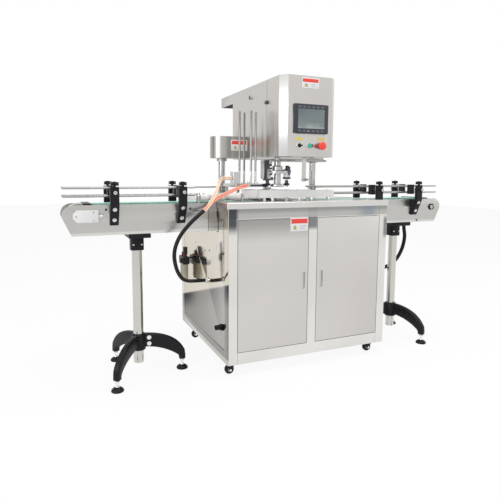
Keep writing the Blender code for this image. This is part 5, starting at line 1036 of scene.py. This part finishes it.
class SEAMER_OT_stands(bpy.types.Operator):
    """Finish the two conveyor stands, their tripod legs and their levelling feet"""

    bl_idname = "seamer.stands"
    bl_label = "Stands"

    def execute(self, context):
        for side, x, first in STANDS:
            polish_node(side + "_stand_post", "post")
            centre = at(x, CHAIN_Y, 0)
            shell = self.tripod(side, centre, first)
            present(shell, "black", "machine", (side + "_stand_base",))
            for number in range(3):
                angle = radians(first + 120 * number)
                place = centre + Vector((LEG_REACH * cos(angle), LEG_REACH * sin(angle), 0))
                self.foot(f"{side}_foot_{number + 1}", place)
            self.clamp_bolts(side, centre, first)
        return {"FINISHED"}

    def tripod(self, side, centre, first):
        """A split hub with three cast legs that arch down to the feet."""
        hub = spun(side + "_hub", [(0.0270, HUB_LOW), (HUB_RADIUS - 0.003, HUB_LOW),
                                   (HUB_RADIUS, HUB_LOW + 0.003), (HUB_RADIUS, HUB_HIGH - 0.010),
                                   (HUB_RADIUS - 0.003, HUB_HIGH - 0.004),
                                   (HUB_RADIUS - 0.007, HUB_HIGH), (0.0270, HUB_HIGH),
                                   (0.0270, HUB_LOW)], centre, "Z", 48)
        parts = [hub]
        first_leg = self.leg(side, centre)
        for number in range(3):
            turn = radians(first + 120 * number)
            parts.append(turned(first_leg, f"{side}_leg_{number + 1}", turn, centre))
        bpy.data.objects.remove(first_leg)
        return merge(side + "_tripod", parts)

    def leg(self, side, centre):
        """One leg along X: its depth narrows toward the foot and its top is rounded."""
        half = LEG_WIDTH / 2
        tip, heel = LEG_REACH + half, LEG_REACH - half
        rings = []
        steps = 14
        for step in range(steps + 1):
            share = step / steps
            top = curve_point((0.020, HUB_HIGH - 0.003), (0.110, HUB_HIGH - 0.003),
                              (0.205, 0.188), (tip - 0.003, 0.106), share)
            foot = curve_point((0.020, HUB_LOW + 0.012), (0.095, HUB_LOW + 0.014),
                               (0.165, 0.112), (heel - 0.008, 0.082), share)
            rings.append((top, foot))
        rings += [((tip, 0.082), (heel, 0.070)), ((tip, LEG_END), (heel, LEG_END))]
        mesh = bmesh.new()
        loops = []
        for top, foot in rings:
            middle = (Vector(top) + Vector(foot)) / 2
            reach = (Vector(top) - Vector(foot)) / 2
            loop = []
            for k in range(20):
                angle = 2 * pi * k / 20
                across = copysign(abs(cos(angle)) ** 0.45, cos(angle)) * half
                along = copysign(abs(sin(angle)) ** 0.45, sin(angle))
                spot = middle + reach * along
                loop.append(mesh.verts.new((centre[0] + spot[0], centre[1] + across, spot[1])))
            loops.append(loop)
        for one, two in zip(loops, loops[1:]):
            for k in range(20):
                mesh.faces.new((one[k], one[(k + 1) % 20], two[(k + 1) % 20], two[k]))
        mesh.faces.new(loops[0])
        mesh.faces.new(list(reversed(loops[-1])))
        bmesh.ops.recalc_face_normals(mesh, faces=mesh.faces)
        data = bpy.data.meshes.new(side + "_leg")
        mesh.to_mesh(data)
        mesh.free()
        piece = bpy.data.objects.new(side + "_leg", data)
        bpy.context.collection.objects.link(piece)
        return piece

    def foot(self, name, place):
        """A levelling foot: a black bell pad, a bright stud with its ball and a lock nut."""
        pad = spun(name + "_pad", [(0.0001, 0.0), (0.0300, 0.0), (0.0310, 0.0015), (0.0310, 0.0060),
                                   (0.0285, 0.0105), (0.0215, 0.0170), (0.0140, 0.0200),
                                   (0.0120, 0.0215), (0.0001, 0.0215)], place, "Z", 40)
        present(pad, "black", "machine")
        stud = spun(name + "_stud", [(0.0001, 0.0210), (0.0105, 0.0210), (0.0120, 0.0240),
                                     (0.0105, 0.0275), (0.0080, 0.0290), (0.0080, 0.0400),
                                     (0.0080, 0.0600), (0.0001, 0.0600)], place, "Z", 32)
        present(stud, "chrome", "machine")
        nut = bar(name + "_nut", place + Vector((0, 0, 0.0430)), place + Vector((0, 0, 0.0520)),
                  0.0130, 6, 0.0010)
        present(nut, "chrome", "machine")

    def clamp_bolts(self, side, centre, first):
        """The two clamp bolts at the root of a leg and those of the top clamp."""
        turn = Matrix.Rotation(radians(first), 3, "Z")
        for number, z in enumerate((0.193, 0.160)):
            place = centre + turn @ Vector((0.054, -LEG_WIDTH / 2 - 0.0004, z))
            piece = bolt(f"{side}_hub_bolt_{number + 1}", place, turn @ Vector((0, -1, 0)), 0.0085,
                         0.0060)
            present(piece, "chrome", "machine")
        front = at(0, CHAIN_Y - 0.033, 0)[1]
        for number, offset in enumerate((-0.021, 0.021)):
            place = (centre[0] + offset, front, STAND_CLAMP_LOW + 0.030)
            screw = dome(f"{side}_clamp_screw_{number + 1}", place, 0.0060)
            present(screw, "machined", "machine")


def curve_point(a, b, c, d, t):
    """A point on a cubic curve with four control points."""
    return tuple((1 - t) ** 3 * p + 3 * (1 - t) ** 2 * t * q + 3 * (1 - t) * t * t * r + t ** 3 * e
                 for p, q, r, e in zip(a, b, c, d))


class SEAMER_OT_head(bpy.types.Operator):
    """Finish the columns, the crossbeam and the head's housing"""

    bl_idname = "seamer.head"
    bl_label = "Head"

    def execute(self, context):
        for name in ("left_column", "right_column"):
            polish_node(name, "column")
        polish_node("crossbeam", "beam")
        polish_node("head_housing", "head", 0.0008)
        polish_node("head_side_panel", "head")
        side = BEAM_Y - BEAM_RADIUS
        label_field("head_label", at(0.420, HEAD_FRONT - 0.0014, 1.507),
                    at(0.525, HEAD_FRONT - 0.0002, 1.561), "seaming_carriage")
        label_field("beam_label", at(0.196, side - 0.0014, 1.196),
                    at(0.300, side - 0.0002, 1.260), "seaming_carriage")
        for number, (y, z) in enumerate(((0.201, 1.449), (0.423, 1.507))):
            self.latch(f"head_latch_{number + 1}", y, z)
        return {"FINISHED"}

    def latch(self, name, y, z):
        """A small turn latch: a dark round base with a bright wing."""
        x = HEAD_LEFT - 0.0055
        base = spun(name, [(0.0001, -0.0045), (0.0080, -0.0045), (0.0105, -0.0025), (0.0110, 0.0),
                           (0.0110, 0.0020), (0.0001, 0.0020)], at(x, y, z), "X", 32)
        present(base, "dark_steel", "seaming_carriage")
        wing = block(name + "_wing", at(x - 0.0085, y - 0.0022, z - 0.0085),
                     at(x - 0.0040, y + 0.0022, z + 0.0085), 0.0012)
        present(wing, "machined", "seaming_carriage")


class SEAMER_OT_operator_panel(bpy.types.Operator):
    """Finish the touch screen, the switches and their plates"""

    bl_idname = "seamer.operator_panel"
    bl_label = "Operator panel"

    def execute(self, context):
        polish_node("touch_screen", "bezel", 0.0015)
        self.screen()
        self.selector()
        self.start_button()
        self.stop_button()
        for number, (left, right, low, high) in enumerate(((0.386, 0.430, 1.237, 1.250),
                                                           (0.524, 0.566, 1.240, 1.252))):
            plate = block(f"legend_plate_{number + 1}",
                          at(left, HEAD_FRONT - 0.0012, low),
                          at(right, HEAD_FRONT - 0.0002, high), 0.0003)
            present(plate, "yellow", "seaming_carriage")
        return {"FINISHED"}

    def screen(self):
        """The glass over the display, and two rows of faint keys on the dark frame."""
        low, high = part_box("touch_screen")
        front = low[1]
        left = low[0] + (high[0] - low[0] - SCREEN_WIDTH) / 2
        glass = block("screen_glass", (left + 0.024, front - 0.0010, 1.2975),
                      (left + 0.186, front - 0.0001, 1.3990), 0.0004)
        present(glass, "glass", "seaming_carriage")
        pitch = 0.0275
        for row, (key_low, key_high) in enumerate(((1.4035, 1.4150), (1.2795, 1.2900))):
            keys = []
            for step in range(6):
                start = left + 0.026 + step * pitch
                keys.append(block(f"key_{row}_{step}", (start, front - 0.0007, key_low),
                                  (start + 0.017, front - 0.0001, key_high), 0.0003))
            present(merge(f"key_row_{row + 1}", keys), "keys", "seaming_carriage")
        dot = dome("screen_light", (left + 0.083, front - 0.0008, 1.2840), 0.0026)
        present(dot, "label_white", "seaming_carriage")

    def collar(self, name, x, radius, inner):
        """The ring that a switch stands in."""
        ring = spun(name, [(inner, 0.0004), (radius, 0.0004), (radius, -0.0042),
                           (radius - 0.0012, -0.0058), (inner + 0.0006, -0.0062), (inner, -0.0056),
                           (inner, 0.0004)],
                    at(x, HEAD_FRONT - 0.0005, BUTTON_Z), "Y", 40)
        present(ring, "zinc", "seaming_carriage")

    def selector(self):
        """The selector's round knob with its lever, in a collar."""
        self.collar("selector_collar", SELECTOR_X, 0.0150, 0.0108)
        knob = spun("selector_knob", [(0.0001, -0.0100), (0.0090, -0.0100), (0.0104, -0.0085),
                                      (0.0106, 0.0), (0.0001, 0.0)],
                    at(SELECTOR_X, HEAD_FRONT - 0.0005, BUTTON_Z), "Y", 40)
        lever = block("selector_lever",
                      at(SELECTOR_X - 0.0120, HEAD_FRONT - 0.0190, BUTTON_Z - 0.0042),
                      at(SELECTOR_X + 0.0135, HEAD_FRONT - 0.0090, BUTTON_Z + 0.0042), 0.0024, 3)
        present(merge("selector_grip", [knob, lever]), "black", "selector",
                ("selector_switch",))

    def start_button(self):
        """The start button's low green cap, in a collar."""
        self.collar("start_collar", START_X, 0.0165, 0.0131)
        cap = spun("start_cap", [(0.0001, -0.0118), (0.0095, -0.0112), (0.0118, -0.0095),
                                 (0.0124, -0.0070), (0.0124, 0.0), (0.0001, 0.0)],
                   at(START_X, HEAD_FRONT - 0.0005, BUTTON_Z), "Y", 48)
        present(cap, "green", "start", ("start_button",))

    def stop_button(self):
        """A red mushroom head on a narrower dark red skirt."""
        place = at(STOP_X, HEAD_FRONT - 0.0003, BUTTON_Z)
        skirt = spun("stop_collar", [(0.0001, 0.0), (0.0190, 0.0), (0.0190, -0.0040),
                                     (0.0165, -0.0070), (0.0130, -0.0080), (0.0130, -0.0170),
                                     (0.0001, -0.0170)], place, "Y", 48)
        present(skirt, "dark_red", "seaming_carriage")
        head = spun("stop_head", [(0.0001, -0.0330), (0.0100, -0.0325), (0.0170, -0.0305),
                                  (0.0210, -0.0270), (0.0222, -0.0220), (0.0215, -0.0180),
                                  (0.0185, -0.0162), (0.0001, -0.0160)], place, "Y", 56)
        present(head, "red", "stop", ("emergency_stop",))


class SEAMER_OT_station(bpy.types.Operator):
    """Finish the seaming head, the lifter, the star wheel and its guide"""

    bl_idname = "seamer.station"
    bl_label = "Seaming station"

    def execute(self, context):
        for name in ("seaming_head", "can_lifter"):
            polish_node(name, "machined")
        for name in ("seaming_roller_1", "seaming_roller_2"):
            polish_node(name, "dark_steel")
        for name in ("star_wheel", "turret_guide", "infeed_screw"):
            polish_node(name, "white")
        polish_node("lid_magazine", "magazine")
        self.seaming_levers()
        self.guide_fasteners()
        self.magazine_details()
        return {"FINISHED"}

    def seaming_levers(self):
        """The pale spindle sleeve and the dark roller levers on both sides of it."""
        x, y = STATION
        sleeve = bar("spindle_sleeve", at(x, y, HEAD_BOTTOM - 0.0715),
                     at(x, y, HEAD_BOTTOM - 0.0125), 0.0195, 40, 0.0015)
        present(sleeve, "machined", "seaming_carriage")
        self.left_group(x, y)
        self.right_group(x, y)

    def left_group(self, x, y):
        """A tall dark carrier with its pale face, a lever, a stack of rings and a spring."""
        low = HEAD_BOTTOM - 0.150
        carrier = block("carrier_left", at(x - 0.084, y - 0.020, low + 0.020),
                        at(x - 0.056, y + 0.020, HEAD_BOTTOM - 0.014), 0.004)
        arm = block("left_lever", at(x - 0.082, y - 0.015, low + 0.022),
                    at(x - 0.030, y + 0.015, low + 0.040), 0.004)
        foot = at(x - 0.052, y - 0.012, low + 0.050)
        step, thickness = Vector((0, 0, 0.017)), Vector((0, 0, 0.010))
        rings = [bar(f"left_ring_{k}", foot + step * k, foot + step * k + thickness,
                     0.0130 - 0.002 * (k % 2), 28, 0.001) for k in range(4)]
        present(merge("left_roller_lever", [carrier, arm] + rings), "dark_steel",
                "seaming_head")
        pale = block("carrier_face", at(x - 0.100, y - 0.012, low + 0.030),
                     at(x - 0.0845, y + 0.016, HEAD_BOTTOM - 0.016), 0.003)
        present(pale, "machined", "seaming_head")
        spring = self.spring("left_spring", at(x - 0.052, y - 0.012, 0), low + 0.112,
                             HEAD_BOTTOM - 0.016, 0.0105)
        present(spring, "zinc", "seaming_head")

    def right_group(self, x, y):
        """The short lever with its cam, its stop and the ring over the seaming roller."""
        low = HEAD_BOTTOM - 0.150
        arm = block("right_lever", at(x + 0.024, y - 0.014, low + 0.064),
                    at(x + 0.084, y + 0.014, low + 0.082), 0.004)
        cam = bar("right_cam", at(x + 0.066, y - 0.006, low + 0.050), at(x + 0.066, y - 0.006,
                  low + 0.100), 0.0150, 32, 0.002)
        stop = block("right_stop", at(x + 0.046, y - 0.030, low + 0.072),
                     at(x + 0.062, y - 0.010, low + 0.106), 0.003)
        ring = spun("right_ring", [(0.0125, low + 0.030), (0.0230, low + 0.030),
                                   (0.0240, low + 0.034), (0.0230, low + 0.040),
                                   (0.0125, low + 0.040), (0.0125, low + 0.030)],
                    at(x + 0.062, y, 0), "Z", 40)
        present(merge("right_roller_lever", [arm, cam, stop, ring]), "dark_steel",
                "seaming_head")
        rod = bar("right_lever_rod", at(x + 0.062, y, low + 0.040), at(x + 0.062, y, low + 0.064),
                  0.0060, 24)
        present(rod, "zinc", "seaming_head")

    def spring(self, name, centre, low, high, radius):
        """A spring of six turns."""
        turns, steps = 6, 18
        count = turns * steps
        points = []
        for k in range(count + 1):
            angle = 2 * pi * k / steps
            points.append((centre[0] + radius * cos(angle), centre[1] + radius * sin(angle),
                           low + (high - low) * k / count))
        return as_mesh(flexible(name, points, 0.0014, 2))

    def guide_fasteners(self):
        """The plate before the front guide, and the front guide's spacers and screws."""
        lead = block("lead_guide", at(0.152, 0.150, 0.9300), at(0.2345, 0.190, 0.9680), 0.003)
        present(lead, "white", "machine")
        for number, x in enumerate((0.300, 0.468, 0.547, 0.660)):
            spacer = bar(f"guide_spacer_{number + 1}", at(x, 0.108, 0.9116), at(x, 0.108, 0.9285),
                         0.0080, 28, 0.0008)
            present(spacer, "zinc", "machine")
            head = bar(f"guide_screw_{number + 1}", at(x, 0.132, 0.9680), at(x, 0.132, 0.9735),
                       0.0068, 24, 0.0010)
            present(head, "zinc", "machine")

    def magazine_details(self):
        """Collars at the feet of the lid rods, and the feeder's dark slot and its knob."""
        x, y = MAGAZINE
        for number, (side, deep) in enumerate(((-1, -1), (1, -1), (-1, 1), (1, 1))):
            place = at(x + side * LID_ROD_OFFSET, y + deep * LID_ROD_OFFSET, MAGAZINE_TOP)
            collar = spun(f"rod_collar_{number + 1}", [(0.0064, 0.0003), (0.0110, 0.0003),
                                                       (0.0110, 0.0090), (0.0098, 0.0102),
                                                       (0.0064, 0.0102), (0.0064, 0.0003)],
                          place, "Z", 32)
            present(collar, "zinc", "machine")
        slot = block("feeder_slot", at(0.205, 0.1885, 0.9885), at(0.275, 0.1897, 0.9990), 0.0005)
        present(slot, "dark_steel", "machine")
        knob = spun("feeder_knob", [(0.0001, -0.0160), (0.0090, -0.0155), (0.0110, -0.0130),
                                    (0.0110, -0.0050), (0.0060, -0.0030), (0.0060, 0.0),
                                    (0.0001, 0.0)], at(0.294, 0.1897, 0.9945), "Y", 32)
        present(knob, "black", "machine")


class SEAMER_OT_services(bpy.types.Operator):
    """Finish the air unit and the power inlet"""

    bl_idname = "seamer.services"
    bl_label = "Services"

    def execute(self, context):
        polish_node("air_unit", "air")
        polish_node("power_inlet", "black", 0.0008)
        return {"FINISHED"}


class SEAMER_OT_hoses(bpy.types.Operator):
    """Lay the two black hoses and the four air tubes"""

    bl_idname = "seamer.hoses"
    bl_label = "Hoses"

    def execute(self, context):
        left = [at(*point) for point in (
            (-0.098, 0.095, 0.868), (-0.139, 0.078, 0.840), (-0.185, 0.064, 0.803),
            (-0.232, 0.053, 0.752), (-0.257, 0.052, 0.700), (-0.262, 0.062, 0.650),
            (-0.249, 0.086, 0.596), (-0.223, 0.125, 0.545), (-0.184, 0.180, 0.502),
            (-0.132, 0.250, 0.474), (-0.095, 0.300, 0.460), (-0.0653, 0.326, 0.453),
            (-0.0383, 0.335, 0.450), (-0.0133, 0.335, 0.450))]
        right = [at(*point) for point in (
            (1.418, 0.335, 0.7567), (1.418, 0.335, 0.7287), (1.421, 0.335, 0.6967),
            (1.430, 0.335, 0.630), (1.410, 0.335, 0.550), (1.362, 0.335, 0.480),
            (1.290, 0.335, 0.440), (1.205, 0.330, 0.425), (1.120, 0.322, 0.428),
            (1.0633, 0.320, 0.437), (1.0333, 0.320, 0.440), (1.0033, 0.320, 0.440))]
        self.air_tubes(left)
        for name, route in (("left_hose", left), ("right_hose", right)):
            self.lay(name + "_rubber", route, radius_of(name), "rubber", "black_plastic", "stiff",
                     name)
        return {"FINISHED"}

    def air_tubes(self, hose):
        """Two pairs of air tubes that leave the left hose's mouth."""
        lead = (hose[0] - hose[1]).normalized()
        mouth = hose[0] + lead * 0.0006
        fork = mouth + lead * 0.030
        to_block = [mouth, fork, at(-0.030, 0.125, 0.938), at(0.000, 0.156, 0.984),
                    at(0.032, 0.205, 1.020), at(0.0674, 0.240, 1.0333), at(0.0924, 0.240, 1.0333),
                    at(0.1174, 0.240, 1.0333)]
        to_plate = [mouth, fork, at(-0.022, 0.120, 0.925), at(0.040, 0.110, 0.958),
                    at(0.105, 0.108, 0.985), at(0.150, 0.122, 0.994), at(0.165, 0.1444, 0.9943),
                    at(0.165, 0.1674, 0.9943), at(0.165, 0.1894, 0.9943)]
        view = Vector((0.38, 0.92, -0.1))
        for label, route, material in (("upper", to_block, "pale_tube"),
                                       ("lower", to_plate, "salmon")):
            for strand, side in enumerate((-1, 1)):
                points = []
                for before, point, after in zip(route[:1] + route, route, route[1:] + route[-1:]):
                    across = (after - before).cross(view).normalized()
                    points.append(point + across * side * AIR_TUBE_SPREAD)
                self.lay(f"{label}_air_tube_{strand + 1}", points, radius_of("air_tube"),
                         material, "salmon_tube", "limp", "air_tubes")

    def lay(self, name, points, radius, material, slot, stiffness, node):
        """One cord on a smooth curve through its route's points, in place of its CAD solid."""
        route = smooth_route(points, radius)
        hose = flexible(name, route, radius)
        hose.data.materials.append(MATERIALS[material])
        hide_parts(node)
        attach(hose, "machine")
        length = sum((b - a).length for a, b in zip(route, route[1:]))


OPERATORS = (
    SEAMER_OT_stage,
    SEAMER_OT_hoses,
    SEAMER_OT_cabinet,
    SEAMER_OT_casters,
    SEAMER_OT_conveyor,
    SEAMER_OT_guides,
    SEAMER_OT_stands,
    SEAMER_OT_head,
    SEAMER_OT_operator_panel,
    SEAMER_OT_station,
    SEAMER_OT_services,
)


class SEAMER_PT_panel(bpy.types.Panel):
    """The machine's colours, its radii and the operators that finish its pieces"""

    bl_idname = "SEAMER_PT_panel"
    bl_label = "Can seaming machine"
    bl_space_type = "VIEW_3D"
    bl_region_type = "UI"
    bl_category = "Seamer"

    def draw(self, context):
        for group in (context.scene.seamer_look, context.scene.seamer_sizes):
            for name in group.__annotations__:
                self.layout.prop(group, name)
        for kind in OPERATORS:
            self.layout.operator(kind.bl_idname)


CLASSES = (SeamerLook, SeamerSizes, *OPERATORS, SEAMER_PT_panel)


def register():
    """Add the classes and their settings."""
    for kind in CLASSES:
        bpy.utils.register_class(kind)
    bpy.types.Scene.seamer_look = bpy.props.PointerProperty(type=SeamerLook)
    bpy.types.Scene.seamer_sizes = bpy.props.PointerProperty(type=SeamerSizes)


def unregister():
    """Take the classes and their settings away."""
    del bpy.types.Scene.seamer_look
    del bpy.types.Scene.seamer_sizes
    for kind in reversed(CLASSES):
        bpy.utils.unregister_class(kind)


def main():
    """Build the whole machine."""
    register()
    make_materials(look())
    for kind in OPERATORS:
        group, name = kind.bl_idname.split(".")
        getattr(getattr(bpy.ops, group), name)()


if __name__ == "__main__":
    main()
